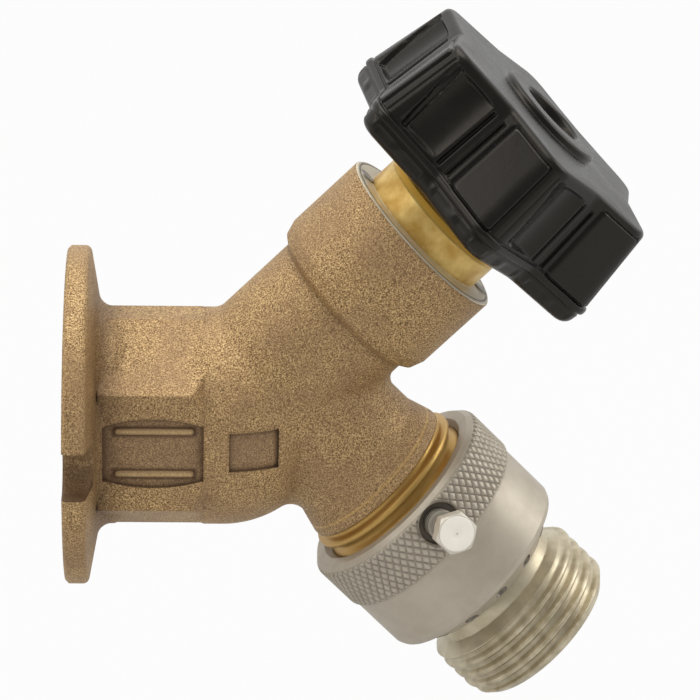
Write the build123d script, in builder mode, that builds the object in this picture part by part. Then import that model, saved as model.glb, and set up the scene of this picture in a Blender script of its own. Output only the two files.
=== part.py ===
from build123d import *
import os
from math import atan2, cos, degrees, pi, radians, sin, tan

os.makedirs("parts", exist_ok=True)

# A wall-mounted garden tap: a cast bronze body with a flange on the wall, a slanting bonnet with
# a lobed handle above, and a slanting outlet with a vacuum breaker and a hose thread below.
# Millimetres. The origin is the centre of the flange's wall face, +X points out of the wall and
# +Z is up. A station is a distance along a branch's axis, from where it leaves the inlet axis.

# Clearances
seat_gap = 0.02         # between pieces that rest on or grip each other
running_gap = 0.05      # radial, between pieces that turn or slide
drill_gap = 0.3         # around a screw or stem that passes freely

# Wall flange
flange_radius = 25.1
flange_rim = 3.3
flange_rise = 1.6       # how far the front face climbs from the rim to the barrel
flange_edge = 0.5
rim_rounding = 0.9
notch_width = 7.0
notch_root = 19.0       # from the axis to the inner end of a bolt notch

# Inlet barrel and the hexagon for a wrench
barrel_radius = 16.15
barrel_fillet = 2.2
hexagon_cut = 0.7       # from the barrel in to the flats
hexagon_end = 20.3
hexagon_bevel = 1.9
flat_runout = 1.8       # over which the flats rise to the barrel at both ends
inlet_thread_radius = 12.15
inlet_thread_depth = 14.0
inlet_chamfer = 0.9
waterway_radius = 7.5
waterway_setback = 4.06  # from the waterway's end to the bonnet axis

# Sunk bare panels on the near side
panel_depth = 0.55
panel_start = 5.6
panel_length = 14.6
panel_height = 8.4
panel_bow = 1.15        # how far the long sides bulge
mark_centre = 27.5
mark_length = 7.2
mark_height = 5.9
mark_rise = 0.35        # of its middle above the inlet axis
mark_depth = 0.5

# Branches
branch_angle = 45.0      # above the horizontal for the bonnet, below it for the outlet
bonnet_x = 23.06
outlet_x = 36.9
branch_fillet = 3.0

# Valve seat and chamber, along the bonnet axis
passage_radius = 5.5
seat_bottom = 2.0
seat_depth = 4.0
seat_lip = 1.5
seat_radius = 8.0
seat_bore = 5.0
seat_chamfer = 0.4
chamber_radius = 9.6
neck_wall = 2.5
port_radius = 6.0
port_reach = 14.0

# Bonnet socket
shoulder_start = 25.3
shoulder_length = 2.9
gasket_seat = 30.0
socket_end = 41.0
socket_thread_radius = 12.3
socket_wall = 1.77
rim_wall = 0.57
rim_edge = 0.3
cap_thickness = 1.96
gasket_thickness = 1.0

# Outlet branch
outlet_bore_radius = 9.0
outlet_wall = 2.4
partition_wall = 1.4    # between the seat's pocket and the outlet bore
outlet_flare_start = 8.5
outlet_flare = 1.1
casting_end = 13.0
relief_depth = 0.55
bead_station = 14.5
bead_radius = 13.15
bead_round = 0.75
hose_thread_radius = 13.49
outlet_thread_start = 16.6
outlet_end = 23.5

# Closing disc, operating rod and spindle
washer_radius = 7.0
washer_thickness = 2.4
washer_screw_head = 3.4
washer_screw_drop = 1.7
washer_screw_radius = 2.0
washer_screw_length = 4.0
cup_wall = 0.75
cup_depth = 2.0
cup_floor = 2.2
rod_radius = 6.0
rod_flats = 10.0
rod_top = 27.0
rod_thread_floor = 14.6
closing_travel = 4.5
spindle_thread_radius = 4.0
spindle_tip_gap = 0.4    # left below the spindle when the valve is fully open
bush_wall = 1.9
bush_bottom = 22.0
bush_top = 32.0
sleeve_wall = 1.2
collar_radius = 7.1
collar_bottom = 35.0
collar_thickness = 2.2
thrust_thickness = 0.8
journal_radius = 4.0
square_start = 52.0
square_side = 5.6
spindle_top = 59.8

# Bonnet cap, packing and gland
hood_radius = 10.7
hood_end = 46.6
hood_rounding = 1.6
packing_wall = 2.4
packing_length = 3.0
packing_floor = 41.0
gland_flats = 13.0
gland_head = 3.3
lock_pin_radius = 1.25
lock_pin_pitch = 12.0
lock_pin_length = 4.7
lock_pin_proud = 0.2

# Handle
lobes = 6
lip_station = 47.9
rim_station = 51.4
plate_station = 65.6
boss_top = 66.9
lip_tip, lip_valley = 24.2, 19.2
rim_tip, rim_valley = 24.8, 19.5
plate_tip, plate_valley = 22.4, 18.2
tip_rounding = 3.6
valley_rounding = 3.0
plate_rounding = 0.9
boss_radius = 8.75
boss_rounding = 0.5
screw_well_radius = 4.95
handle_cavity_radius = 15.5
handle_cavity_top = 60.0
hub_radius = 8.4
hub_bottom = 52.2
web_thickness = 1.8
scoop_depth = 1.0
scoop_radius = 8.0
flank_margin = 2.2      # bare height above and below a scoop or a raised panel
pad_width = 8.0
pad_height = 9.6
pad_corner = 1.8
pad_proud = 0.35
lobe_pocket_radius = 2.1
lobe_pocket_circle = 19.3
lobe_pocket_depth = 8.0
insert_radius = 5.5
insert_bottom = 53.0
ledge_bottom = 60.2
ledge_thickness = 1.4
handle_washer_thickness = 0.8
handle_washer_radius = 4.6
handle_screw_head = 4.0
handle_screw_height = 2.2
handle_screw_radius = 2.0
handle_screw_reach = 7.0
screw_slot_width = 0.9
screw_slot_depth = 0.9

# Vacuum breaker, along the outlet axis
breaker_top = 16.3
breaker_gasket = 1.5
breaker_lead = 0.41     # from the hose thread's crest out to the mouth's edge
knurl_wall = 3.01       # from the hose thread's crest out to the knurl's crests
knurl_depth = 0.38
knurl_end = 24.6
band_step = 0.45        # from the knurl's crests in to the smooth band
band_wall = 1.75
band_end = 34.4
band_rounding = 1.0
breaker_bottom = 36.25
foot_setback = 1.7      # from the air chamber's wall in to the foot's edge
breaker_edge = 0.7
web_height = 2.0
web_bore = 6.5
air_floor = 33.8
vent_count = 14
vent_radius = 1.05
vent_setback = 0.85     # from the air chamber's wall in to the vents
vent_angle = 100.9       # of the first vent, from the branch's upper side towards the near side
air_seal_thickness = 1.0
air_seal_inner = 9.1
air_seal_play = 1.1     # between the air seal and the air chamber's wall
air_seal_gap = 0.85     # left open below the air seal when no water runs

# Poppet of the vacuum breaker
poppet_travel = 2.5
poppet_radius = 8.5
poppet_thickness = 1.9
poppet_seal_radius = 8.2
poppet_seal_thickness = 1.0
poppet_spigot = 3.0
poppet_spigot_height = 1.0
stem_radius = 1.8
stem_overrun = 2.0      # of the stem beyond its hub
spring_radius = 4.2
spring_wire = 0.4
spring_turns = 3.5
spring_slack = 0.35     # left between the pressed spring's turns in all

# Hose nozzle
nozzle_bore = 9.0
nozzle_sleeve_wall = 1.7
nozzle_collar_wall = 2.0
nozzle_collar_end = 39.1
nozzle_lead_end = 40.3  # where the cone from the collar reaches the thread's root
nozzle_end = 49.4
nozzle_mouth = 0.6
thread_pitch = 2.209
thread_depth = 1.15
thread_crest = 0.75
thread_first = 41.9
thread_turns = 4
hub_height = 2.2
hub_outer = 5.2
spoke_width = 1.8
spokes = 4

# Break-off locking screw
lock_screw_station = 20.3
lock_screw_angle = 18.4
lock_screw_radius = 2.2
lock_screw_sink = 3.2
lock_screw_sink_depth = 1.6
lock_screw_thread_end = 17.3
lock_screw_waist = 1.3
lock_screw_waist_end = 18.5
lock_screw_shank = 2.0
lock_screw_head_start = 22.4
lock_screw_head_end = 24.5
lock_screw_flats = 5.6
lock_screw_bevel = 0.5

# Axes and section planes. In a section plane X is the radius and Y is the station.
tilt = radians(branch_angle)
inlet_section = Plane(origin=(0, 0, 0), x_dir=(0, 0, 1), z_dir=(0, 1, 0))
bonnet_section = Plane(origin=(bonnet_x, 0, 0), x_dir=(sin(tilt), 0, -cos(tilt)), z_dir=(0, -1, 0))
outlet_section = Plane(origin=(outlet_x, 0, 0), x_dir=(sin(tilt), 0, cos(tilt)), z_dir=(0, 1, 0))
bonnet_base = Plane(
    origin=(bonnet_x, 0, 0), x_dir=(sin(tilt), 0, -cos(tilt)), z_dir=(cos(tilt), 0, sin(tilt))
)
outlet_base = Plane(
    origin=(outlet_x, 0, 0), x_dir=(sin(tilt), 0, cos(tilt)), z_dir=(cos(tilt), 0, -sin(tilt))
)
near_side = Plane(origin=(0, 0, 0), x_dir=(1, 0, 0), z_dir=(0, -1, 0))

# Where the two branch axes cross, measured along each of them
crossing = (outlet_x - bonnet_x) / (2 * cos(tilt))

# Sizes that follow from the driving ones
flange_root = flange_rim + flange_rise
hexagon_start = flange_root + barrel_fillet
hexagon_flats = 2 * (barrel_radius - hexagon_cut)
neck_radius = chamber_radius + neck_wall
socket_radius = socket_thread_radius + socket_wall
cap_radius = socket_radius - rim_wall
cap_bottom = socket_end - cap_thickness
outlet_neck_radius = outlet_bore_radius + outlet_wall
casting_end_radius = outlet_neck_radius + outlet_flare
chamber_floor = seat_bottom + seat_depth
seat_top = chamber_floor + seat_lip
washer_bottom = seat_top + seat_gap
washer_top = washer_bottom + washer_thickness
cup_radius = washer_radius + running_gap + cup_wall
bush_radius = rod_radius + running_gap + bush_wall
sleeve_radius = bush_radius + seat_gap + sleeve_wall
collar_top = collar_bottom + collar_thickness
thrust_top = collar_top + running_gap + thrust_thickness
packing_radius = journal_radius + running_gap + packing_wall
packing_top = packing_floor + seat_gap + packing_length
ledge_top = ledge_bottom + ledge_thickness
outlet_thread_radius = hose_thread_radius - thread_depth / 2
breaker_bore = outlet_thread_radius + running_gap
breaker_mouth_radius = hose_thread_radius + breaker_lead
knurl_radius = hose_thread_radius + knurl_wall
knurl_root_radius = knurl_radius - knurl_depth
band_radius = knurl_radius - band_step
air_chamber_radius = band_radius - band_wall
breaker_foot_radius = air_chamber_radius - foot_setback
vent_circle = air_chamber_radius - vent_setback
air_seal_outer = air_chamber_radius - air_seal_play
breaker_shelf = outlet_end + breaker_gasket + 2 * seat_gap
web_bottom = breaker_shelf + web_height
nozzle_sleeve_radius = nozzle_bore + nozzle_sleeve_wall
nozzle_collar_radius = nozzle_bore + nozzle_collar_wall
air_seal_bottom = web_bottom + seat_gap + air_seal_thickness
poppet_top = web_bottom + 2 * seat_gap + poppet_seal_thickness
nozzle_top = air_seal_bottom + air_seal_gap
spring_top = poppet_top + poppet_thickness
pressed_spring = 2 * spring_wire * (spring_turns + 1)
hub_top = spring_top + poppet_travel + pressed_spring + spring_slack
stem_end = hub_top + hub_height + stem_overrun
spindle_tip = rod_thread_floor + closing_travel + spindle_tip_gap


def turned(section, outline, mode=Mode.ADD):
    """Revolve a closed outline of (radius, station) corners about the section's axis."""
    with BuildSketch(section) as profile:
        with BuildLine():
            Polyline(*outline, close=True)
        make_face()
    revolve(profile.sketch, axis=Axis(section.origin, section.y_dir), mode=mode)


def tube(section, outer, inner, start, end, mode=Mode.ADD):
    """Revolve a ring, or a disc where the inner radius is 0."""
    turned(section, [(inner, start), (outer, start), (outer, end), (inner, end)], mode)


def bore(section, radius, start, end):
    """Cut a round hole between two stations."""
    tube(section, radius, 0, start, end, Mode.SUBTRACT)


def nearest_corner(profile, radius, station):
    """The corner of a profile that lies nearest to a radius and a station."""
    return profile.vertices().sort_by_distance((radius, station, 0))[0]


def sharp_tip(tip, valley):
    """Radius of the sharp corner that rounds off to a given tip radius on a lobed outline."""
    half_lobe = pi / lobes
    corner = tip
    for _ in range(10):
        half_angle = atan2(valley * sin(half_lobe), corner - valley * cos(half_lobe))
        corner = tip + tip_rounding * (1 / sin(half_angle) - 1)
    return corner


def lobed_outline(station, tip, valley):
    """Sketch the handle's outline at a station, with rounded tips and valleys."""
    corner = sharp_tip(tip, valley)
    half_lobe = 180 / lobes
    with BuildSketch(bonnet_base.offset(station)) as outline:
        with BuildLine():
            Polyline(
                *[
                    (radius * cos(radians(turn)), radius * sin(radians(turn)))
                    for lobe in range(lobes)
                    for radius, turn in (
                        (corner, (2 * lobe + 1) * half_lobe),
                        (valley, (2 * lobe + 2) * half_lobe),
                    )
                ],
                close=True,
            )
        make_face()
        by_radius = outline.vertices().sort_by(lambda vertex: vertex.center().length)
        fillet(by_radius[lobes:], tip_rounding)
        by_radius = outline.vertices().sort_by(lambda vertex: vertex.center().length)
        fillet(by_radius[:lobes], valley_rounding)
    return outline.sketch


def flank_middle(station, lobe, side, depth):
    """Middle of a lobe's flank, sunk by a depth; side is 1 for the flank after the tip."""
    share = (station - rim_station) / (plate_station - rim_station)
    tip = rim_tip + share * (plate_tip - rim_tip)
    valley = rim_valley + share * (plate_valley - rim_valley)
    half_lobe = pi / lobes
    turn = (2 * lobe + 1) * half_lobe
    tip_point = Vector(sharp_tip(tip, valley), 0, station)
    valley_point = Vector(valley * cos(half_lobe), side * valley * sin(half_lobe), station)
    along = valley_point - tip_point
    outward = Vector(side * along.Y, -side * along.X, 0).normalized()
    point = (tip_point + valley_point) * 0.5 - outward * depth
    return bonnet_base.from_local_coords(point.rotate(Axis.Z, degrees(turn)))


def station_on(section, point):
    """Distance of a point along a branch's axis."""
    return (point - section.origin).dot(section.y_dir)


# Cross-sections of the body's inlet end
hexagon_corner = hexagon_flats / 2 / cos(radians(30))
with BuildSketch() as hexagon:
    RegularPolygon(hexagon_corner, 6, rotation=30)
    Rectangle(hexagon_flats + 1, 2 * barrel_radius, mode=Mode.INTERSECT)

notch_centre = notch_root + notch_width / 2
notch_length = flange_radius + flange_edge - notch_centre
with BuildSketch() as notches:
    for side in (-1, 1):
        with Locations((side * notch_centre, 0)):
            Circle(notch_width / 2)
        with Locations((side * (notch_centre + notch_length / 2), 0)):
            Rectangle(notch_length, notch_width)

# Hexagon for the wrench, its outer end bevelled round
with BuildPart() as wrench_hexagon:
    extrude(Plane.YZ.offset(flange_root) * hexagon.sketch, amount=hexagon_end - flange_root)
    turned(
        inlet_section,
        [
            (0, flange_root),
            (hexagon_corner, flange_root),
            (hexagon_corner, hexagon_end - hexagon_bevel),
            (barrel_radius, hexagon_end),
            (0, hexagon_end),
        ],
        Mode.INTERSECT,
    )

# Pocket of one depth, whose floor follows the barrel's round end
with BuildPart() as mark_pocket:
    with BuildSketch(near_side.offset(barrel_radius / 2)):
        with Locations((mark_centre, mark_rise)):
            Rectangle(mark_length, mark_height)
    extrude(amount=barrel_radius)
    with Locations((bonnet_x, 0, 0)):
        Sphere(barrel_radius - mark_depth, mode=Mode.SUBTRACT)

with BuildPart() as body:
    # Flange with its sloping front, and the barrel that sweeps out of it
    with BuildSketch(inlet_section) as inlet_profile:
        with BuildLine():
            Polyline(
                (0, 0),
                (flange_radius - flange_edge, 0),
                (flange_radius, flange_edge),
                (flange_radius, flange_rim),
                (barrel_radius, flange_root),
                (barrel_radius, bonnet_x),
                (0, bonnet_x),
                close=True,
            )
        make_face()
        fillet(nearest_corner(inlet_profile, barrel_radius, flange_root), barrel_fillet)
        fillet(nearest_corner(inlet_profile, flange_radius, flange_rim), rim_rounding)
    revolve(axis=Axis.X)
    # Round end of the barrel and the two necks that grow out of it
    with Locations((bonnet_x, 0, 0)):
        Sphere(barrel_radius)
    tube(bonnet_section, neck_radius, 0, 0, shoulder_start)
    turned(
        outlet_section,
        [
            (0, -crossing),
            (outlet_neck_radius, -crossing),
            (outlet_neck_radius, casting_end),
            (0, casting_end),
        ],
    )
    joints = [
        edge
        for edge in body.edges().filter_by(GeomType.LINE, reverse=True)
        if edge.center().X > hexagon_start
        and station_on(bonnet_section, edge.center()) < shoulder_start - 1
        and station_on(outlet_section, edge.center()) < casting_end - 1
    ]
    fillet(joints, radius=branch_fillet)
    # Flats for the wrench
    tube(inlet_section, hexagon_corner, 0, hexagon_start, hexagon_end, Mode.SUBTRACT)
    add(wrench_hexagon.part)
    for low, high, start, end in (
        (barrel_radius, hexagon_flats / 2, hexagon_start, hexagon_start + flat_runout),
        (hexagon_flats / 2, barrel_radius, hexagon_end - flat_runout, hexagon_end),
    ):
        turned(inlet_section, [(0, start), (low, start), (high, end), (0, end)])
    # Bonnet socket
    turned(
        bonnet_section,
        [
            (0, crossing),
            (neck_radius, crossing),
            (neck_radius, shoulder_start),
            (neck_radius + (socket_radius - neck_radius) * 0.7, shoulder_start + shoulder_length * 0.35),
            (socket_radius, shoulder_start + shoulder_length),
            (socket_radius, socket_end - rim_edge),
            (socket_radius - rim_edge, socket_end),
            (0, socket_end),
        ],
    )
    # Outlet end: flare, turned relief, bead and thread
    turned(
        outlet_section,
        [
            (0, 0),
            (outlet_neck_radius, 0),
            (outlet_neck_radius, outlet_flare_start),
            (casting_end_radius - relief_depth * 0.4, casting_end - 1.4),
            (casting_end_radius, casting_end - 0.6),
            (casting_end_radius, casting_end),
            (casting_end_radius - relief_depth, casting_end),
            (casting_end_radius - relief_depth, bead_station - bead_round),
            (bead_radius, bead_station - bead_round / 2),
            (bead_radius, bead_station + bead_round / 2),
            (casting_end_radius - relief_depth, bead_station + bead_round),
            (casting_end_radius - relief_depth, outlet_thread_start - 0.4),
            (outlet_thread_radius, outlet_thread_start + 0.5),
            (outlet_thread_radius, outlet_end - 0.8),
            (outlet_thread_radius - 0.8, outlet_end),
            (0, outlet_end),
        ],
    )
    # Bolt notches
    extrude(Plane.YZ * notches.sketch, amount=flange_root, mode=Mode.SUBTRACT)
    # Sunk panels on the near side
    with BuildSketch(near_side.offset(hexagon_flats / 2 - panel_depth)):
        with BuildLine():
            panel_end = panel_start + panel_length
            panel_middle = panel_start + panel_length / 2
            bow_height = panel_height / 2 + panel_bow
            Line((panel_start, -panel_height / 2), (panel_start, panel_height / 2))
            ThreePointArc(
                (panel_start, panel_height / 2), (panel_middle, bow_height), (panel_end, panel_height / 2)
            )
            Line((panel_end, panel_height / 2), (panel_end, -panel_height / 2))
            ThreePointArc(
                (panel_end, -panel_height / 2), (panel_middle, -bow_height), (panel_start, -panel_height / 2)
            )
        make_face()
    extrude(amount=flange_radius, mode=Mode.SUBTRACT)
    add(mark_pocket.part, mode=Mode.SUBTRACT)
    # Inlet thread and waterway
    bore(inlet_section, inlet_thread_radius, 0, inlet_thread_depth)
    turned(
        inlet_section,
        [
            (0, 0),
            (inlet_thread_radius + inlet_chamfer, 0),
            (inlet_thread_radius, inlet_chamfer),
            (0, inlet_chamfer),
        ],
        Mode.SUBTRACT,
    )
    waterway_end = bonnet_x - waterway_setback
    bore(inlet_section, waterway_radius, 0, waterway_end)
    # Passage to the seat, seat pocket, chamber and bonnet thread
    bore(bonnet_section, passage_radius, -waterway_setback / cos(tilt), seat_bottom)
    bore(bonnet_section, seat_radius + seat_gap, seat_bottom, chamber_floor)
    bore(bonnet_section, chamber_radius, chamber_floor, gasket_seat)
    bore(bonnet_section, socket_thread_radius, gasket_seat, cap_bottom)
    bore(bonnet_section, cap_radius + seat_gap, cap_bottom, socket_end)
    # Port from the chamber and the outlet bore
    with BuildSketch(outlet_base.offset(-crossing)):
        with Locations((chamber_floor + port_radius - crossing, 0)):
            Circle(port_radius)
    extrude(amount=port_reach, mode=Mode.SUBTRACT)
    outlet_bore_start = seat_radius + partition_wall - crossing
    bore(outlet_section, outlet_bore_radius, outlet_bore_start, outlet_end)
    # Holes for the two lock pins
    with BuildSketch(bonnet_base.offset(socket_end + lock_pin_proud - lock_pin_length - seat_gap)):
        with Locations((lock_pin_pitch, 0), (-lock_pin_pitch, 0)):
            Circle(lock_pin_radius + seat_gap)
    extrude(amount=lock_pin_length, mode=Mode.SUBTRACT)

body.part.label = "body"
export_step(body.part, "parts/body.step")

with BuildPart() as valve_seat:
    turned(
        bonnet_section,
        [
            (seat_bore, seat_bottom),
            (seat_radius, seat_bottom),
            (seat_radius, seat_top - seat_chamfer),
            (seat_radius - seat_chamfer, seat_top),
            (seat_bore, seat_top),
        ],
    )

valve_seat.part.label = "valve_seat"
export_step(valve_seat.part, "parts/valve_seat.step")

# Closing disc: a rubber washer in a cup on the end of the rod, held by a screw
with BuildPart() as seat_washer:
    tube(bonnet_section, washer_radius, washer_screw_radius + drill_gap, washer_bottom, washer_top)

seat_washer.part.label = "seat_washer"
export_step(seat_washer.part, "parts/seat_washer.step")

screw_head_bottom = washer_bottom - seat_gap - washer_screw_drop
screw_end = washer_bottom + washer_screw_length
with BuildPart() as washer_screw:
    tube(bonnet_section, washer_screw_head, 0, screw_head_bottom, washer_bottom - seat_gap)
    tube(bonnet_section, washer_screw_radius, 0, washer_bottom - 2 * seat_gap, screw_end)
    with BuildSketch(bonnet_base.offset(screw_head_bottom)):
        Rectangle(screw_slot_width, 3 * washer_screw_head)
    extrude(amount=screw_slot_depth, mode=Mode.SUBTRACT)

washer_screw.part.label = "washer_screw"
export_step(washer_screw.part, "parts/washer_screw.step")

# Operating rod: the cup, and a rod with two flats that keeps it from turning in its bush
cup_bottom = washer_top - cup_depth
cup_top = washer_top + seat_gap + cup_floor
with BuildSketch() as rod_outline:
    Circle(rod_radius)
    Rectangle(rod_flats, 3 * rod_radius, mode=Mode.INTERSECT)

with BuildPart() as operating_rod:
    tube(bonnet_section, cup_radius, 0, cup_bottom, cup_top)
    extrude(bonnet_base.offset(cup_top) * rod_outline.sketch, amount=rod_top - cup_top)
    bore(bonnet_section, washer_radius + running_gap, cup_bottom, washer_top + seat_gap)
    bore(bonnet_section, washer_screw_radius + seat_gap, washer_top, screw_end + seat_gap)
    bore(bonnet_section, spindle_thread_radius + running_gap, rod_thread_floor, rod_top)

operating_rod.part.label = "operating_rod"
export_step(operating_rod.part, "parts/operating_rod.step")

# Guide bush pressed into the bonnet's sleeve
with BuildSketch() as bush_bore:
    Circle(rod_radius + running_gap)
    Rectangle(rod_flats + 2 * running_gap, 3 * rod_radius, mode=Mode.INTERSECT)

with BuildPart() as guide_bush:
    tube(bonnet_section, bush_radius, 0, bush_bottom, bush_top)
    extrude(
        bonnet_base.offset(bush_bottom) * bush_bore.sketch, amount=bush_top - bush_bottom, mode=Mode.SUBTRACT
    )

guide_bush.part.label = "guide_bush"
export_step(guide_bush.part, "parts/guide_bush.step")

# Bonnet gasket at the bottom of the socket
gasket_bottom = gasket_seat + seat_gap
gasket_top = gasket_bottom + gasket_thickness
with BuildPart() as bonnet_gasket:
    tube(bonnet_section, socket_thread_radius - seat_gap, chamber_radius, gasket_bottom, gasket_top)

bonnet_gasket.part.label = "bonnet_gasket"
export_step(bonnet_gasket.part, "parts/bonnet_gasket.step")

# Bonnet: sleeve, thread, cap in the socket's rim, and the hood that rises to the gland
with BuildPart() as bonnet:
    thread_start = gasket_top + seat_gap
    turned(
        bonnet_section,
        [
            (0, bush_bottom),
            (sleeve_radius, bush_bottom),
            (sleeve_radius, thread_start),
            (socket_thread_radius - seat_gap, thread_start),
            (socket_thread_radius - seat_gap, cap_bottom + seat_gap),
            (cap_radius, cap_bottom + seat_gap),
            (cap_radius, socket_end),
            (hood_radius, socket_end),
            (hood_radius, hood_end - hood_rounding),
            (hood_radius - hood_rounding * 0.3, hood_end - hood_rounding * 0.3),
            (hood_radius - hood_rounding, hood_end),
            (0, hood_end),
        ],
    )
    bore(bonnet_section, bush_radius + seat_gap, bush_bottom, bush_top)
    bore(bonnet_section, collar_radius + running_gap, bush_top, thrust_top + running_gap)
    bore(bonnet_section, journal_radius + running_gap, thrust_top, packing_floor)
    bore(bonnet_section, packing_radius + seat_gap, packing_floor, hood_end)
    with BuildSketch(bonnet_base.offset(socket_end + lock_pin_proud - lock_pin_length - seat_gap)):
        with Locations((lock_pin_pitch, 0), (-lock_pin_pitch, 0)):
            Circle(lock_pin_radius + seat_gap)
    extrude(amount=lock_pin_length, mode=Mode.SUBTRACT)

bonnet.part.label = "bonnet"
export_step(bonnet.part, "parts/bonnet.step")

# Two pins that lock the bonnet to the body's rim
for number, side in enumerate((1, -1), start=1):
    with BuildPart() as lock_pin:
        with BuildSketch(bonnet_base.offset(socket_end + lock_pin_proud - lock_pin_length)):
            with Locations((side * lock_pin_pitch, 0)):
                Circle(lock_pin_radius)
        extrude(amount=lock_pin_length)
    lock_pin.part.label = f"lock_pin_{number}"
    export_step(lock_pin.part, f"parts/lock_pin_{number}.step")

# Spindle: thread in the rod, thrust collar, journal and the square that drives the handle
with BuildPart() as spindle:
    turned(
        bonnet_section,
        [
            (0, spindle_tip),
            (spindle_thread_radius, spindle_tip),
            (spindle_thread_radius, collar_bottom),
            (collar_radius, collar_bottom),
            (collar_radius, collar_top),
            (journal_radius, collar_top),
            (journal_radius, square_start),
            (0, square_start),
        ],
    )
    with BuildSketch(bonnet_base.offset(square_start)):
        Rectangle(square_side, square_side)
    extrude(amount=spindle_top - square_start)
    bore(bonnet_section, handle_screw_radius + seat_gap, spindle_top - handle_screw_reach, spindle_top)

spindle.part.label = "spindle"
export_step(spindle.part, "parts/spindle.step")

with BuildPart() as thrust_washer:
    tube(bonnet_section, collar_radius, journal_radius + running_gap, collar_top + running_gap, thrust_top)

thrust_washer.part.label = "thrust_washer"
export_step(thrust_washer.part, "parts/thrust_washer.step")

with BuildPart() as packing:
    tube(bonnet_section, packing_radius, journal_radius + running_gap, packing_floor + seat_gap, packing_top)

packing.part.label = "packing"
export_step(packing.part, "parts/packing.step")

# Gland nut that presses on the packing
gland_bottom = packing_top + seat_gap
gland_seat = hood_end + seat_gap
with BuildPart() as gland_nut:
    tube(bonnet_section, packing_radius, 0, gland_bottom, gland_seat + 1)
    with BuildSketch(bonnet_base.offset(gland_seat)):
        RegularPolygon(gland_flats / 2, 6, major_radius=False)
    extrude(amount=gland_head)
    bore(bonnet_section, journal_radius + running_gap, gland_bottom, gland_seat + gland_head)

gland_nut.part.label = "gland_nut"
export_step(gland_nut.part, "parts/gland_nut.step")

# Handle: six lobes, scooped on one flank and padded on the other, hollow below
plate_side = plate_station - plate_rounding
plate_inset = plate_rounding * 0.7
sections = [
    lobed_outline(lip_station, lip_tip, lip_valley),
    lobed_outline(rim_station, rim_tip, rim_valley),
    lobed_outline(plate_side, plate_tip, plate_valley),
    lobed_outline(plate_station, plate_tip - plate_inset, plate_valley - plate_inset),
]
flank_low = rim_station + flank_margin
flank_high = plate_side - flank_margin

with BuildPart() as handle:
    loft(sections, ruled=True)
    # Boss on the plate
    turned(
        bonnet_section,
        [
            (0, plate_side),
            (boss_radius, plate_side),
            (boss_radius, boss_top - boss_rounding),
            (boss_radius - boss_rounding, boss_top),
            (0, boss_top),
        ],
    )
    for lobe in range(lobes):
        # Hollow scoop on the flank after the tip
        low = flank_middle(flank_low, lobe, 1, scoop_depth - scoop_radius)
        high = flank_middle(flank_high, lobe, 1, scoop_depth - scoop_radius)
        with BuildSketch(Plane(origin=low, z_dir=high - low)):
            Circle(scoop_radius)
        extrude(amount=(high - low).length, mode=Mode.SUBTRACT)
        # Raised pad on the flank before it
        low = flank_middle(flank_low, lobe, -1, 0)
        high = flank_middle(flank_high, lobe, -1, 0)
        inner = flank_middle(flank_low, lobe, -1, 1)
        upward = (high - low).normalized()
        outward = (low - inner).normalized()
        across = upward.cross(outward).normalized()
        pad_plane = Plane(origin=(low + high) * 0.5, x_dir=across, z_dir=across.cross(upward))
        with BuildSketch(pad_plane.offset(-pad_proud)):
            RectangleRounded(pad_width, pad_height, pad_corner)
        extrude(amount=2 * pad_proud)
    # Cavity below, with webs from the hub to the wall
    bore(bonnet_section, handle_cavity_radius, lip_station, hub_bottom)
    with BuildSketch(bonnet_base.offset(hub_bottom)):
        Circle(handle_cavity_radius)
        Circle(hub_radius, mode=Mode.SUBTRACT)
        with PolarLocations(handle_cavity_radius / 2, lobes):
            Rectangle(handle_cavity_radius, web_thickness, mode=Mode.SUBTRACT)
    extrude(amount=handle_cavity_top - hub_bottom, mode=Mode.SUBTRACT)
    with BuildSketch(bonnet_base.offset(lip_station)):
        with PolarLocations(lobe_pocket_circle, lobes, start_angle=180 / lobes):
            Circle(lobe_pocket_radius)
    extrude(amount=lobe_pocket_depth, mode=Mode.SUBTRACT)
    # Seat of the insert, ledge for the washer, and the well of the screw
    bore(bonnet_section, insert_radius + seat_gap, hub_bottom, ledge_bottom)
    bore(bonnet_section, handle_screw_radius + drill_gap, ledge_bottom, ledge_top)
    bore(bonnet_section, screw_well_radius, ledge_top, boss_top)

handle.part.label = "handle"
export_step(handle.part, "parts/handle.step")

# Metal insert that takes the spindle's square
with BuildPart() as handle_insert:
    tube(bonnet_section, insert_radius, 0, insert_bottom, ledge_bottom - seat_gap)
    with BuildSketch(bonnet_base.offset(insert_bottom)):
        Rectangle(square_side + 2 * seat_gap, square_side + 2 * seat_gap)
    extrude(amount=ledge_bottom - insert_bottom, mode=Mode.SUBTRACT)

handle_insert.part.label = "handle_insert"
export_step(handle_insert.part, "parts/handle_insert.step")

handle_washer_bottom = ledge_top + seat_gap
handle_washer_top = handle_washer_bottom + handle_washer_thickness
with BuildPart() as handle_washer:
    tube(
        bonnet_section,
        handle_washer_radius,
        handle_screw_radius + drill_gap,
        handle_washer_bottom,
        handle_washer_top,
    )

handle_washer.part.label = "handle_washer"
export_step(handle_washer.part, "parts/handle_washer.step")

handle_screw_seat = handle_washer_top + seat_gap
handle_screw_top = handle_screw_seat + handle_screw_height
with BuildPart() as handle_screw:
    tube(bonnet_section, handle_screw_head, 0, handle_screw_seat, handle_screw_top)
    tube(
        bonnet_section,
        handle_screw_radius,
        0,
        spindle_top - handle_screw_reach + drill_gap,
        handle_screw_seat + seat_gap,
    )
    with BuildSketch(bonnet_base.offset(handle_screw_top)):
        Rectangle(screw_slot_width, 3 * handle_screw_head)
    extrude(amount=-screw_slot_depth, mode=Mode.SUBTRACT)

handle_screw.part.label = "handle_screw"
export_step(handle_screw.part, "parts/handle_screw.step")

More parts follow.
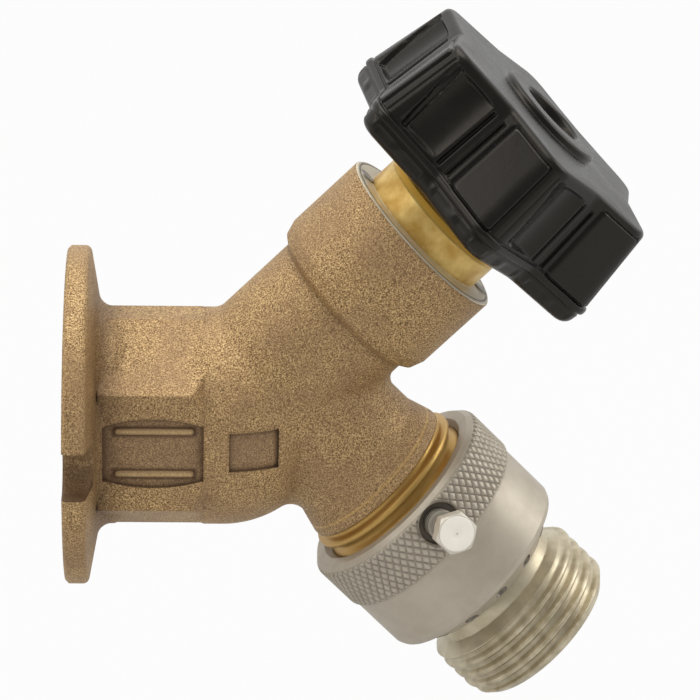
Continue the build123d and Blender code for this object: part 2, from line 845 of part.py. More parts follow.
# Vacuum breaker body, screwed on the outlet's thread
sleeve_hole_radius = nozzle_sleeve_radius + seat_gap
lock_screw_axis = outlet_base.x_dir * sin(radians(lock_screw_angle)) + outlet_base.y_dir * cos(
    radians(lock_screw_angle)
)
lock_section = Plane(
    origin=outlet_base.offset(lock_screw_station).origin,
    x_dir=outlet_base.z_dir,
    z_dir=outlet_base.z_dir.cross(lock_screw_axis),
)
with BuildPart() as breaker_body:
    turned(
        outlet_section,
        [
            (breaker_mouth_radius, breaker_top),
            (knurl_root_radius - breaker_edge, breaker_top),
            (knurl_root_radius, breaker_top + breaker_edge),
            (knurl_root_radius, knurl_end),
            (band_radius, knurl_end + knurl_root_radius - band_radius),
            (band_radius, band_end - band_rounding),
            (band_radius - band_rounding * 0.3, band_end - band_rounding * 0.3),
            (band_radius - band_rounding, band_end),
            (breaker_foot_radius, breaker_bottom),
            (sleeve_hole_radius, breaker_bottom),
            (sleeve_hole_radius, air_floor),
            (air_chamber_radius, air_floor),
            (air_chamber_radius, web_bottom),
            (web_bore, web_bottom),
            (web_bore, breaker_shelf),
            (breaker_bore, breaker_shelf),
            (breaker_bore, breaker_top + breaker_mouth_radius - breaker_bore),
        ],
    )
    with BuildSketch(outlet_base.offset(air_floor)):
        with PolarLocations(vent_circle, vent_count, start_angle=vent_angle):
            Circle(vent_radius)
    extrude(amount=breaker_bottom - air_floor, mode=Mode.SUBTRACT)
    bore(lock_section, lock_screw_radius + seat_gap, 0.9 * breaker_bore, knurl_radius + 1)
    bore(lock_section, lock_screw_sink, knurl_radius - lock_screw_sink_depth, knurl_radius + 1)

breaker_body.part.label = "breaker_body"
export_step(breaker_body.part, "parts/breaker_body.step")

with BuildPart() as breaker_gasket_ring:
    tube(
        outlet_section,
        breaker_bore - seat_gap,
        outlet_bore_radius,
        outlet_end + seat_gap,
        breaker_shelf - seat_gap,
    )

breaker_gasket_ring.part.label = "breaker_gasket"
export_step(breaker_gasket_ring.part, "parts/breaker_gasket.step")

# Flat ring that shuts the vents while water runs
with BuildPart() as air_seal:
    tube(outlet_section, air_seal_outer, air_seal_inner, web_bottom + seat_gap, air_seal_bottom)

air_seal.part.label = "air_seal"
export_step(air_seal.part, "parts/air_seal.step")

# Poppet with its seal, held shut by a spring
with BuildPart() as poppet:
    turned(
        outlet_section,
        [
            (0, web_bottom - poppet_spigot_height),
            (poppet_spigot, web_bottom - poppet_spigot_height),
            (poppet_spigot, poppet_top),
            (poppet_radius, poppet_top),
            (poppet_radius, spring_top),
            (stem_radius, spring_top),
            (stem_radius, stem_end),
            (0, stem_end),
        ],
    )

poppet.part.label = "poppet"
export_step(poppet.part, "parts/poppet.step")

with BuildPart() as poppet_seal:
    tube(
        outlet_section,
        poppet_seal_radius,
        poppet_spigot + seat_gap,
        web_bottom + seat_gap,
        poppet_top - seat_gap,
    )

poppet_seal.part.label = "poppet_seal"
export_step(poppet_seal.part, "parts/poppet_seal.step")

# Spring: one wire wound round the stem, its ends resting on the poppet and the hub
coil_low = spring_top + seat_gap + spring_wire
coil_high = hub_top - seat_gap - spring_wire
coil_height = coil_high - coil_low
with BuildPart() as poppet_spring:
    with BuildLine() as coil:
        Helix(
            pitch=coil_height / spring_turns,
            height=coil_height,
            radius=spring_radius,
            center=outlet_base.offset(coil_low).origin,
            direction=outlet_base.z_dir,
        )
    with BuildSketch(Plane(origin=coil.line @ 0, z_dir=coil.line % 0)):
        Circle(spring_wire)
    sweep(path=coil.line, is_frenet=True)

poppet_spring.part.label = "poppet_spring"
export_step(poppet_spring.part, "parts/poppet_spring.step")

# Hose nozzle: sleeve in the breaker's floor, collar, hose thread and the hub that guides the stem
thread_root = hose_thread_radius - thread_depth
flank_run = thread_depth * tan(radians(30))
thread_outline = []
for turn in range(thread_turns):
    crest = thread_first + turn * thread_pitch
    thread_outline += [
        (thread_root, crest - thread_crest / 2 - flank_run),
        (hose_thread_radius, crest - thread_crest / 2),
        (hose_thread_radius, crest + thread_crest / 2),
        (thread_root, min(crest + thread_crest / 2 + flank_run, nozzle_end)),
    ]

with BuildPart() as hose_nozzle:
    turned(
        outlet_section,
        [
            (nozzle_bore, nozzle_top),
            (nozzle_sleeve_radius, nozzle_top),
            (nozzle_sleeve_radius, breaker_bottom + seat_gap),
            (nozzle_collar_radius, breaker_bottom + seat_gap),
            (nozzle_collar_radius, nozzle_collar_end),
            (thread_root, nozzle_lead_end),
            *thread_outline,
            (nozzle_bore + nozzle_mouth, nozzle_end),
            (nozzle_bore, nozzle_end - nozzle_mouth),
        ],
    )
    with BuildSketch(outlet_base.offset(hub_top)):
        with PolarLocations(nozzle_bore / 2, spokes):
            Rectangle(nozzle_bore + 0.5, spoke_width)
        Circle(hub_outer)
        Circle(stem_radius + running_gap, mode=Mode.SUBTRACT)
    extrude(amount=hub_height)

hose_nozzle.part.label = "hose_nozzle"
export_step(hose_nozzle.part, "parts/hose_nozzle.step")

# Locking screw whose head breaks off at the waist once the breaker is fitted
lock_screw_base = Plane(origin=lock_section.origin, x_dir=lock_section.x_dir, z_dir=lock_section.y_dir)
head_corner = lock_screw_flats / 2 / cos(radians(30))
with BuildPart() as screw_hexagon:
    with BuildSketch(lock_screw_base.offset(lock_screw_head_start)):
        RegularPolygon(lock_screw_flats / 2, 6, major_radius=False)
    extrude(amount=lock_screw_head_end - lock_screw_head_start)
    turned(
        lock_section,
        [
            (0, lock_screw_head_start),
            (head_corner, lock_screw_head_start),
            (head_corner, lock_screw_head_end - lock_screw_bevel),
            (head_corner - lock_screw_bevel, lock_screw_head_end),
            (0, lock_screw_head_end),
        ],
        Mode.INTERSECT,
    )

with BuildPart() as lock_screw:
    turned(
        lock_section,
        [
            (0, outlet_thread_radius + seat_gap),
            (lock_screw_radius, outlet_thread_radius + seat_gap),
            (lock_screw_radius, lock_screw_thread_end),
            (lock_screw_waist, lock_screw_thread_end),
            (lock_screw_waist, lock_screw_waist_end),
            (lock_screw_shank, lock_screw_waist_end),
            (lock_screw_shank, lock_screw_head_start),
            (0, lock_screw_head_start),
        ],
    )
    add(screw_hexagon.part)

lock_screw.part.label = "lock_screw"
export_step(lock_screw.part, "parts/lock_screw.step")
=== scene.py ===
# %% [markdown]
# # A wall-mounted garden tap
# The solid parts of the tap come ready made, in metres, in one shared frame. This lesson dresses
# them: it gives each part its own finish and remakes the parts that live from fine detail, such as
# the moulded handle, the knurled ring and the hose thread. Nothing that is loaded here is moved.

# %% Load the tap
import math

import bmesh
import bpy
import numpy as np
from mathutils import Matrix, Vector


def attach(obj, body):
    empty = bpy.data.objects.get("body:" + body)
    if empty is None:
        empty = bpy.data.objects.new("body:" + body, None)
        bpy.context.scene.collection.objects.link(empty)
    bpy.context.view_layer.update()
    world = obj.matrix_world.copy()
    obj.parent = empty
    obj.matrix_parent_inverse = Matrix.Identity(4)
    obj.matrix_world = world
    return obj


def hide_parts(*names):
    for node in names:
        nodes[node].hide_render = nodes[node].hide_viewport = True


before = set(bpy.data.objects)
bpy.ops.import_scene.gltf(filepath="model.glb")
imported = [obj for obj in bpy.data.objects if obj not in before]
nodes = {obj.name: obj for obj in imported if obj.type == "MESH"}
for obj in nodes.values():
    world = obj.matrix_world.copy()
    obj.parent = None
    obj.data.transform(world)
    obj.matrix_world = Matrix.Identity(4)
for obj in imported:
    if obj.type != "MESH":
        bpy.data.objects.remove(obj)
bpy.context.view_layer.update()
MM = 0.001

# %% [markdown]
# ## Camera
# The picture is taken from far away with a long lens, a little above the tap and almost square to
# its side, so that upright lines stay upright. It could be placed by eye. Written as a distance
# and three angles about the middle of the tap, it is easy to adjust: a degree more height shows
# more of every ring's face.

# %% Camera
aim = Vector((41.74, 0.0, 10.50)) * MM
distance = 519.75 * MM
azimuth = math.radians(-2.65)
elevation = math.radians(20.616)
roll = math.radians(1.388)
sensor, picture_side, focal_pixels = 36.0, 700, 3514.25
nearest, farthest = 0.02, 20
flat = math.cos(elevation)
back = Vector((math.sin(azimuth) * flat, -math.cos(azimuth) * flat, math.sin(elevation)))
level = Vector((math.cos(azimuth), math.sin(azimuth), 0))
upright = back.cross(level)
right = math.cos(roll) * level + math.sin(roll) * upright
up = math.cos(roll) * upright - math.sin(roll) * level
camera = bpy.data.objects.new("camera", bpy.data.cameras.new("camera"))
bpy.context.scene.collection.objects.link(camera)
camera.matrix_world = Matrix(
    [[right[i], up[i], back[i], aim[i] + back[i] * distance] for i in range(3)] + [[0, 0, 0, 1]]
)
camera.data.sensor_width = sensor
camera.data.lens = focal_pixels / picture_side * sensor
camera.data.clip_start, camera.data.clip_end = nearest, farthest
bpy.context.scene.camera = camera
print("lens", round(camera.data.lens, 1), "mm")

# %% [markdown]
# ## Studio
# A catalogue picture has a white sweep and large soft lights. Metal and gloss show whatever stands
# round them, so the room matters as much as the lamps: it is white behind and dark on the camera's
# side, which gives rounded metal its dark edges. One wide lamp hangs above, a smaller one stands on
# each side, and the floor lies well below the tap, which hangs on a wall.

# %% Node helpers
def start_nodes(owner):
    """Empties a world's or a material's nodes. From then on, new nodes go into it."""
    global tree
    owner.use_nodes = True
    tree = owner.node_tree
    tree.nodes.clear()


def add_node(kind, inputs=None, **settings):
    """The outputs of a new node. A socket among its inputs is linked, and any other input is a
    plain value."""
    made = tree.nodes.new("ShaderNode" + kind)
    for name, value in settings.items():
        setattr(made, name, value)
    for name, value in (inputs or {}).items():
        if isinstance(value, bpy.types.NodeSocket):
            tree.links.new(value, made.inputs[name])
        else:
            made.inputs[name].default_value = value
    return made.outputs


def maths(operation, first, *others):
    """An operation on one value, or on the result so far and each further value in turn."""
    for other in others or (0.0,):
        inputs = {0: first, 1: other}
        first = add_node("Math", inputs, operation=operation)[0]
    return first


def spread(value, low, high, to_low=0.0, to_high=1.0):
    """A value's range stretched to another, and held at its ends."""
    inputs = {0: value, "From Min": low, "From Max": high, "To Min": to_low, "To Max": to_high}
    return add_node("MapRange", inputs)[0]


# %% Colour helpers
def ramp(factor, stops):
    """A colour ramp over a factor, from (position, colour) pairs."""
    made = add_node("ValToRGB", {0: factor})[0]
    elements = made.node.color_ramp.elements
    while len(elements) < len(stops):
        elements.new(0.5)
    for element, (position, colour) in zip(elements, stops):
        element.position = position
        element.color = (*colour, 1)
    return made


def linear(red, green, blue):
    """The linear value of a colour that a screen shows as red, green and blue from 0 to 255."""
    share = np.array([red, green, blue]) / 255
    return tuple(np.where(share <= 0.04045, share / 12.92, ((share + 0.055) / 1.055) ** 2.4))


# %% Room
room_light, room_dark = 0.92, 0.24
dark_until, white_from = -0.65, 0.2
white = (1, 1, 1)
world = bpy.data.worlds.new("studio")
bpy.context.scene.world = world
start_nodes(world)
away = add_node("SeparateXYZ", {0: add_node("TexCoord")["Generated"]})["Y"]
behind = spread(away, dark_until, white_from)
sweep = ramp(behind, [(0.0, (room_dark,) * 3), (1.0, white)])
rays = add_node("LightPath")
mirror_like = maths("ADD", rays["Is Glossy Ray"], rays["Is Transmission Ray"])
lit = add_node("Background", {"Color": (*white, 1), "Strength": room_light})[0]
seen = add_node("Background", {"Color": (*white, 1), "Strength": 1.0})[0]
mirrored = add_node("Background", {"Color": sweep, "Strength": 1.0})[0]
unseen = add_node("MixShader", {0: mirror_like, 1: lit, 2: mirrored})[0]
for_all = add_node("MixShader", {0: rays["Is Camera Ray"], 1: unseen, 2: seen})[0]
add_node("OutputWorld", {"Surface": for_all})
print("room light", room_light)


# %% Lamps
def soft_lamp(name, place, size, power, colour=white):
    """A square lamp that looks at the middle of the tap."""
    lamp = bpy.data.lights.new(name, "AREA")
    lamp.size = size
    lamp.energy = power
    lamp.color = colour
    holder = bpy.data.objects.new(name, lamp)
    holder.location = place
    holder.rotation_mode = "QUATERNION"
    holder.rotation_quaternion = (Vector(place) - aim).to_track_quat("Z", "Y")
    bpy.context.scene.collection.objects.link(holder)
    print(name, power, "W")


warm_white = (1.0, 0.985, 0.96)
soft_lamp("top_lamp", (-0.10, 0.10, 1.20), size=1.00, power=7.0, colour=warm_white)
soft_lamp("left_lamp", (-1.05, -0.35, 0.85), size=0.60, power=2.2)
soft_lamp("right_lamp", (1.05, 0.15, 0.55), size=0.60, power=2.5)

# %% Floor
floor_height, floor_half = -0.085, 6.0
paper_grey, paper_glow = (0.50, 0.50, 0.50), 0.93
corners = np.array([(-1, -1), (1, -1), (1, 1), (-1, 1)]) * floor_half
floor_mesh = bpy.data.meshes.new("floor")
floor_mesh.from_pydata([(x, y, floor_height) for x, y in corners], [], [(0, 1, 2, 3)])
floor = bpy.data.objects.new("floor", floor_mesh)
bpy.context.scene.collection.objects.link(floor)
paper = bpy.data.materials.new("white_paper")
start_nodes(paper)
matt = add_node("BsdfDiffuse", {"Color": (*paper_grey, 1)})[0]
glow = add_node("Emission", {"Color": (*white, 1), "Strength": 1.0})[0]
share = maths("MULTIPLY", add_node("LightPath")["Is Camera Ray"], paper_glow)
paper_mix = add_node("MixShader", {0: share, 1: matt, 2: glow})[0]
add_node("OutputMaterial", {"Surface": paper_mix})
floor_mesh.materials.append(paper)
bpy.context.scene.view_settings.view_transform = "Standard"
print("floor at", floor_height / MM, "mm")

# %% [markdown]
# ## Where things are
# Two branches leave the inlet at 45 degrees: the bonnet upwards and the outlet downwards. Almost
# everything on the tap is round about one of them, so each branch gets its own frame: a start
# point, an axis, and two directions square to it. A point is then a station along the axis, a
# radius and a turn, and the same few lines place every ring, thread and lobe.

# %% Branch frames
slope = math.sqrt(0.5)
near = np.array([0.0, -1.0, 0.0])
rising = np.array([slope, 0.0, slope])
falling = np.array([slope, 0.0, -slope])
bonnet_start = np.array([23.06, 0.0, 0.0]) * MM
outlet_start = np.array([36.9, 0.0, 0.0]) * MM
bonnet = (bonnet_start, rising, falling, near)
outlet = (outlet_start, falling, rising, near)
inlet = (np.zeros(3), np.array([1.0, 0.0, 0.0]), np.array([0.0, 0.0, 1.0]), near)
screw_station, screw_turn = 20.3, math.radians(18.4)
screw_axis = math.cos(screw_turn) * near + math.sin(screw_turn) * rising
screw_front = math.cos(screw_turn) * rising - math.sin(screw_turn) * near
screw = (outlet_start + screw_station * falling * MM, screw_axis, -falling, screw_front)


def on_branch(branch, radius, turn, station):
    """Points at a radius and a turn about a branch's axis, a station along it. The turn starts at
    the branch's front and grows towards its side."""
    start, axis, side, front = branch
    radius, turn, station = np.broadcast_arrays(radius, turn, station)
    return (
        start
        + (radius * np.cos(turn))[..., None] * front * MM
        + (radius * np.sin(turn))[..., None] * side * MM
        + station[..., None] * axis * MM
    )


print("lock screw's axis starts at", np.round(screw[0] / MM, 1), "mm")

# %% [markdown]
# ## Cast bronze
# The body is cast in sand and then shot-blasted, so its skin is an even grain of light and dark
# specks under half a millimetre, over slow patches of browner and rosier metal. It could be
# painted, but a picture would need a layout and would blur close up. Here two noises in the metal
# itself give colour, roughness and bump, and shade is painted darker into the hollows, the corner
# behind the flange, the bolt notches and beside the panel's bars.

# %% Material helpers
materials = {}
noise_range = (0.3, 0.7)


def new_material(name):
    """Starts an empty material and gives its object coordinates."""
    materials[name] = bpy.data.materials.new(name)
    start_nodes(materials[name])
    print("finish", name)
    return add_node("TexCoord")["Object"]


def close_material(**inputs):
    """A Principled shader with these inputs, as the material's surface."""
    named = {name.replace("_", " "): value for name, value in inputs.items()}
    add_node("OutputMaterial", {"Surface": add_node("BsdfPrincipled", named)[0]})


def noise(place, size, detail, roughness):
    """Noise whose lumps are about a size in millimetres, mostly within noise_range."""
    inputs = {"Vector": place, "Scale": 1 / (size * MM), "Detail": detail, "Roughness": roughness}
    return add_node("TexNoise", inputs)["Fac"]


def mixed(factor, *colours):
    """Two colours mixed by a factor."""
    first, second = (c if isinstance(c, bpy.types.NodeSocket) else (*c, 1) for c in colours)
    inputs = {0: factor, 6: first, 7: second}
    return add_node("Mix", inputs, data_type="RGBA")[2]


# %% Bumps, soft edges and painted hollow shade
def bumped(height, depth, strength, under):
    """A normal bumped by a height from 0 to 1 that stands for a depth in millimetres."""
    inputs = {"Height": height, "Distance": depth * MM, "Strength": strength, "Normal": under}
    return add_node("Bump", inputs)[0]


def softened(radius, samples):
    """A normal that rounds off every sharp edge by a radius in millimetres."""
    return add_node("Bevel", {"Radius": radius * MM}, samples=samples)[0]


def hollow_shade(reach, samples, closed, free, most):
    """Painted shade that grows from nothing in the open to its most in a hollow, by how little of
    the space within a reach in millimetres is free."""
    space = add_node("AmbientOcclusion", {"Distance": reach * MM}, samples=samples)["AO"]
    return spread(space, closed, free, most, 0.0)


# %% Places on the metal
def vector(operation, first, second=(0, 0, 0)):
    """An operation on vectors, whose result is a value for a length or a product."""
    made = add_node("VectorMath", {0: first, 1: second}, operation=operation)
    return made["Value" if operation in ("LENGTH", "DOT_PRODUCT") else "Vector"]


def measured(place, start, way):
    """Distance in millimetres of a point from a start, along a direction."""
    return vector("DOT_PRODUCT", vector("ADD", place, tuple(-start)), tuple(way / MM))


def along(place, branch):
    """Station in millimetres of a point on a branch's axis."""
    return measured(place, branch[0], branch[1])


def square_to(place, branch):
    """Distances in millimetres of a point from a branch's axis, to its front and to its side."""
    start, _, side, front = branch
    return [measured(place, start, way) for way in (front, side)]


def length_of(first, second):
    """Length of the long side of a right triangle."""
    return vector("LENGTH", add_node("CombineXYZ", {0: first, 1: second})[0])


def distance_from(place, centre, weights=(1, 1, 1)):
    """Distance in millimetres of a point from a centre. A weight under 1 makes an axis count less
    than the others."""
    weights = np.array(weights) / MM
    scaled = vector("MULTIPLY", place, tuple(weights))
    return vector("LENGTH", vector("SUBTRACT", scaled, tuple(weights * centre)))


def in_box(place, low, high, blur=0.05):
    """1 inside a box given in millimetres, falling to 0 across a thin edge."""
    steps = []
    for axis, *limits in zip(add_node("SeparateXYZ", {0: place}), low, high):
        for limit, half in zip(limits, (blur, -blur)):
            steps.append(spread(axis, (limit - half) * MM, (limit + half) * MM))
    return maths("MULTIPLY", *steps)


# %% Painted shade on the casting
# Ramps and strengths of the painted shade at the corner, the notches and the run-outs.
corner_start, corner_end, corner_shade = (3.7, 5.2), (5.4, 9.0), 0.45
notch_half, notch_root, notch_rim = 3.5, 19.0, 26.0
notch_behind, notch_before, notch_spare = -1.0, 4.4, 0.12
notch_shade = (0.85, 0.15)
edge_run_out = np.array([21.0, 15.2, 9.4]) * MM
run_out_weights, run_out_reach, run_out_shade = (1.0, 1.0, 0.5), (0.4, 1.6), 0.5


def painted_shade_spots(place):
    """Painted shade where light hardly reaches: the corner behind the flange, the bolt notches
    (more so in their lower half, away from the light above) and the four places where edges of the
    hexagon run out. Coordinates folded to their positive side let one place stand for its mirror
    images."""
    station = along(place, inlet)
    height = square_to(place, inlet)[1]
    folded = vector("ABSOLUTE", place)
    corner = spread(station, *corner_start)
    corner = maths("MULTIPLY", corner, spread(station, *corner_end, corner_shade, 0.0))
    wide = notch_half + notch_spare
    low, high = (notch_behind, notch_root, -wide), (notch_before, notch_rim, wide)
    depth = spread(height, -notch_half, notch_half, *notch_shade)
    notches = maths("MULTIPLY", in_box(folded, low, high), depth)
    reach = distance_from(folded, edge_run_out, run_out_weights)
    run_outs = spread(reach, *run_out_reach, run_out_shade, 0.0)
    return maths("MAXIMUM", corner, notches, run_outs)


# %% Sunk panels
panel_low, panel_high = (5.4, -15.3, -5.6), (20.4, -14.6, 5.6)
small_panel_low, small_panel_high = (23.8, -15.9, -2.7), (31.2, -12.0, 3.4)
small_panel_radius, small_panel_edge = 15.92, 0.1
bar_low, bar_high = 7.2, 18.9
bar_height, bar_half_width, bar_rise = 3.3, 0.55, 0.42
bar_shadow, bar_blur = 0.3, 0.25


def panels(place):
    """1 on the floors of the two panels. The small one is cut off by a ball about the bonnet's
    start."""
    reach = distance_from(place, bonnet_start)
    outer = small_panel_radius + small_panel_edge
    small = in_box(place, small_panel_low, small_panel_high)
    small = maths("MULTIPLY", small, spread(reach, small_panel_radius, outer, 1.0, 0.0))
    return maths("ADD", in_box(place, panel_low, panel_high), small)


def shade_beside_bars(place):
    """1 in a blurred band round each of the two bars on the large panel, where a shadow is painted.
    """
    aside = bar_half_width + bar_shadow
    found = []
    for level in (-bar_height, bar_height):
        low = (bar_low - bar_shadow, panel_low[1], level - aside)
        high = (bar_high + bar_shadow, panel_high[1], level + aside)
        found.append(in_box(place, low, high, bar_blur))
    return maths("ADD", *found)


# %% Colours and grain of the bronze
bronze_light = linear(228, 196, 140)
bronze_mean = linear(172, 138, 92)
bronze_dark = linear(92, 66, 36)
bronze_rosy = linear(148, 116, 84)
panel_brown = linear(136, 108, 84)
# The colour of painted shade.
shade_brown = linear(82, 56, 34)
cut_brass = linear(204, 166, 96)
# Near white: faced metal is paler, and this also paints light into faces in the handle's shade.
lit_cut_face = linear(252, 240, 214)
specks = [(0.38, bronze_dark), (0.48, bronze_mean), (0.52, bronze_mean), (0.62, bronze_light)]
grain_noise, patch_noise, patch_range = (0.22, 3.0, 0.7), (9.0, 2.0, 0.6), (0.42, 0.66)
rosy_share, panel_share, bar_shade_share = 0.45, 0.5, 0.8
# Painted shade in hollows, small and wide: reach, samples, range and strength.
small_hollow, wide_hollow, wide_share = (1.5, 6, 0.30, 0.90), (9.0, 6, 0.40, 0.95), 0.42
outlet_cut, outlet_line, socket_cut = 12.95, 11.3, 40.72
cut_blur, line_half, line_share = 0.04, (0.10, 0.22), 0.5
grain_bump, patch_bump, edge_rounding = (0.08, 0.8), (0.5, 0.25), (0.7, 6)
skin_rough, cut_rough, skin_metal, cut_metal = (0.62, 0.46), 0.16, 0.40, 0.8


# %% Cast bronze
def make_cast_bronze(name, worn=0.0):
    """Shot-blasted bronze: fine grain, slow patches, painted shade in the hollows and beside the
    bars, browner ground in the sunk panels, and bright metal where a lathe has cut the ends of the
    two branches."""
    place = new_material(name)
    grain = noise(place, *grain_noise)
    patch = noise(place, *patch_noise)
    tint = maths("MULTIPLY", spread(patch, *patch_range), rosy_share)
    skin = mixed(tint, ramp(grain, specks), bronze_rosy)
    skin = mixed(worn, skin, bronze_light)
    ground = maths("MULTIPLY", panels(place), panel_share)
    skin = mixed(ground, skin, panel_brown)
    # Painted shadow round the bars, left off the worn bars themselves.
    bars = maths("MULTIPLY", shade_beside_bars(place), 0.0 if worn else bar_shade_share)
    # Painted shade: in small hollows, beside the bars, at the flange's corner, notches and
    # run-outs, and in wide hollows.
    small = hollow_shade(*small_hollow, 1.0 - worn)
    for shade in (bars, painted_shade_spots(place), small, hollow_shade(*wide_hollow, wide_share)):
        skin = mixed(shade, skin, shade_brown)
    on_outlet = along(place, outlet)
    ended = spread(on_outlet, outlet_cut - cut_blur, outlet_cut + cut_blur)
    line = maths("ABSOLUTE", maths("SUBTRACT", on_outlet, outlet_line))
    line = spread(line, *line_half, line_share, 0.0)
    faced = spread(along(place, bonnet), socket_cut, socket_cut + 2 * cut_blur)
    cut = maths("MAXIMUM", ended, line, faced)
    # The faced socket end takes the near-white faced colour, partly painted light.
    skin = mixed(cut, skin, mixed(faced, cut_brass, lit_cut_face))
    height = maths("MULTIPLY", grain, maths("SUBTRACT", 1.0, cut))
    normal = bumped(height, *grain_bump, softened(*edge_rounding))
    normal = bumped(patch, *patch_bump, normal)
    rough = spread(grain, *noise_range, *skin_rough)
    rough = maths("SUBTRACT", rough, maths("MULTIPLY", cut, cut_rough))
    metallic = spread(ended, 0.0, 1.0, skin_metal, cut_metal)
    close_material(Base_Color=skin, Metallic=metallic, Roughness=rough, Normal=normal)


make_cast_bronze("cast_bronze")
make_cast_bronze("worn_bronze", worn=0.5)

# %% [markdown]
# ## Turned brass, plated nickel and moulded plastic
# A lathe leaves rings that a fingernail can hardly feel, so turned metal is smooth across and fine
# along its axis: a one-dimensional noise on the station draws them. The plated breaker is blasted
# under its plating and only looks satin. Black plastic has no colour of its own and shows the
# room, so all its life is in its roughness: a slightly wavy skin with a little dust on it.

# %% Turned metal
ring_width, ring_share, ring_bump = 0.10, 0.18, (0.006, 0.8)
cloud_noise, cloud_range = (3.5, 4.0, 0.6), (0.40, 0.65)
fine_noise, fine_bump = (0.25, 2.0, 0.6), (0.012, 0.5)
# Painted shade in the hollows of turned metal.
turned_hollow, turned_share, darker = (1.2, 4, 0.3, 0.8), 0.55, 0.45
smoother, rougher, quick_samples = 0.05, 0.08, 4


def make_turned(name, branch, tone, deep, rough, clouds, metal, soften=0.18, change=None):
    """Metal turned about a branch: rings on the station, clouds in colour and roughness, and
    painted shade in its hollows. A change is a function that adds to the colour what is special to
    one part."""
    place = new_material(name)
    station = along(place, branch)
    inputs = {"W": station, "Scale": 1 / ring_width, "Detail": 2.0}
    rings = add_node("TexNoise", inputs, noise_dimensions="1D")["Fac"]
    cloud = noise(place, *cloud_noise)
    colour = mixed(spread(cloud, *cloud_range, 0.0, clouds), tone, deep)
    colour = mixed(spread(rings, *noise_range, 0.0, ring_share), colour, deep)
    darkest = tuple(darker * part for part in deep)
    # Painted shade: darker in the hollows.
    colour = mixed(hollow_shade(*turned_hollow, turned_share), colour, darkest)
    if change is not None:
        colour = change(place, station, colour)
    normal = bumped(rings, *ring_bump, softened(soften, quick_samples))
    normal = bumped(noise(place, *fine_noise), *fine_bump, normal)
    cloudy = spread(cloud, *noise_range, rough - smoother * clouds, rough + rougher * clouds)
    close_material(Base_Color=colour, Metallic=metal, Roughness=cloudy, Normal=normal)


# %% Colour changes on the brass and the thread
# Painted light on the faced ring and the shoulder, painted shade at the cap's outer edge.
cap_face, cap_edge, cap_edge_shade = 41.06, (13.18, 13.30), 0.85
shoulder, shoulder_blur = 45.1, 0.3
lit_shoulder_gold = linear(250, 196, 84)
streak_scale, streak_range, streak_share = 0.32, (0.44, 0.62), 0.5
streak_start, streak_tone = (39.4, 41.0), linear(138, 122, 90)


def faced_ring_and_painted_light(place, station, colour):
    """The bonnet's flat ring in the socket's rim is freshly faced and paler than its hood, and its
    near-white colour also paints light into it against the handle's shade. The hood's shoulder
    under the handle is left rough and is more golden, and is painted brighter against the same
    shade. The cap's outermost edge is painted dark as shade."""
    gold = spread(station, shoulder, shoulder + shoulder_blur)
    colour = mixed(gold, colour, lit_shoulder_gold)
    ring = spread(station, cap_face - cut_blur, cap_face + cut_blur, 1.0, 0.0)
    colour = mixed(ring, colour, lit_cut_face)
    edge = spread(length_of(*square_to(place, bonnet)), *cap_edge)
    return mixed(maths("MULTIPLY", edge, cap_edge_shade), colour, shade_brown)


def streaked(place, station, colour):
    """The thread's flanks are streaked along the axis: noise on the two directions square to it."""
    to_front, to_side = square_to(place, outlet)
    joined = add_node("CombineXYZ", {0: to_front, 1: to_side})[0]
    inputs = {"Vector": joined, "Scale": streak_scale, "Detail": 2.0, "Roughness": 0.5}
    streaks = add_node("TexNoise", inputs)["Fac"]
    streaks = spread(streaks, *streak_range, 0.0, streak_share)
    streaks = maths("MULTIPLY", streaks, spread(station, *streak_start))
    return mixed(streaks, colour, streak_tone)


# %% Colour changes on the breaker and its screw
# Painted shade in the air holes and in the lock screw's recess.
vent_count, vent_circle, first_vent = 14, 13.45, math.radians(100.9)
vent_edge, vent_start, vent_shade = (1.02, 1.10), (30.0, 30.5), (0.012, 0.010, 0.008)
recess_edge, recess_floor, recess_top = (3.3, 3.5), (4.0, 6.0), (14.5, 16.2)
recess_share, recess_shade = 0.9, linear(46, 38, 28)
# Thread lines on the shank are painted as shade in its grooves.
screw_pitch, shank_end = 0.75, (19.6, 19.8)
shank_wave, shank_share, shank_groove_shade = (-0.2, 0.6), 0.85, linear(84, 70, 50)


def painted_hole_shade(place, station, colour):
    """Painted shade inside the air holes: a point's distance from the axis of the nearest of
    fourteen holes, which stand on one circle in even turns from the first. The lock screw's recess
    is painted dark as shade too."""
    height = along(place, screw)
    wide = length_of(*square_to(place, screw))
    below_top = spread(height, *recess_top, recess_share, 0.0)
    above_floor = spread(height, *recess_floor)
    recess = maths("MULTIPLY", spread(wide, *recess_edge, 1.0, 0.0), below_top, above_floor)
    colour = mixed(recess, colour, recess_shade)
    to_front, to_side = square_to(place, outlet)
    step = math.tau / vent_count
    turn = maths("SUBTRACT", maths("ARCTAN2", to_front, to_side), first_vent)
    share = maths("DIVIDE", turn, step)
    share = maths("SUBTRACT", share, maths("ROUND", share))
    sideways = maths("MULTIPLY", share, step * vent_circle)
    outward = maths("SUBTRACT", length_of(to_front, to_side), vent_circle)
    inside = spread(length_of(sideways, outward), *vent_edge, 1.0, 0.0)
    inside = maths("MULTIPLY", inside, spread(station, *vent_start))
    return mixed(inside, colour, vent_shade)


def shank_thread_shade(place, _, colour):
    """Thread lines on the lock screw's shank, below its head, painted as shade in the grooves: a
    wave on the screw's own axis.
    """
    height = along(place, screw)
    wave = maths("SINE", maths("MULTIPLY", height, math.tau / screw_pitch))
    lines = spread(wave, *shank_wave, shank_share, 0.0)
    lines = maths("MULTIPLY", lines, spread(height, *shank_end, 1.0, 0.0))
    return mixed(lines, colour, shank_groove_shade)


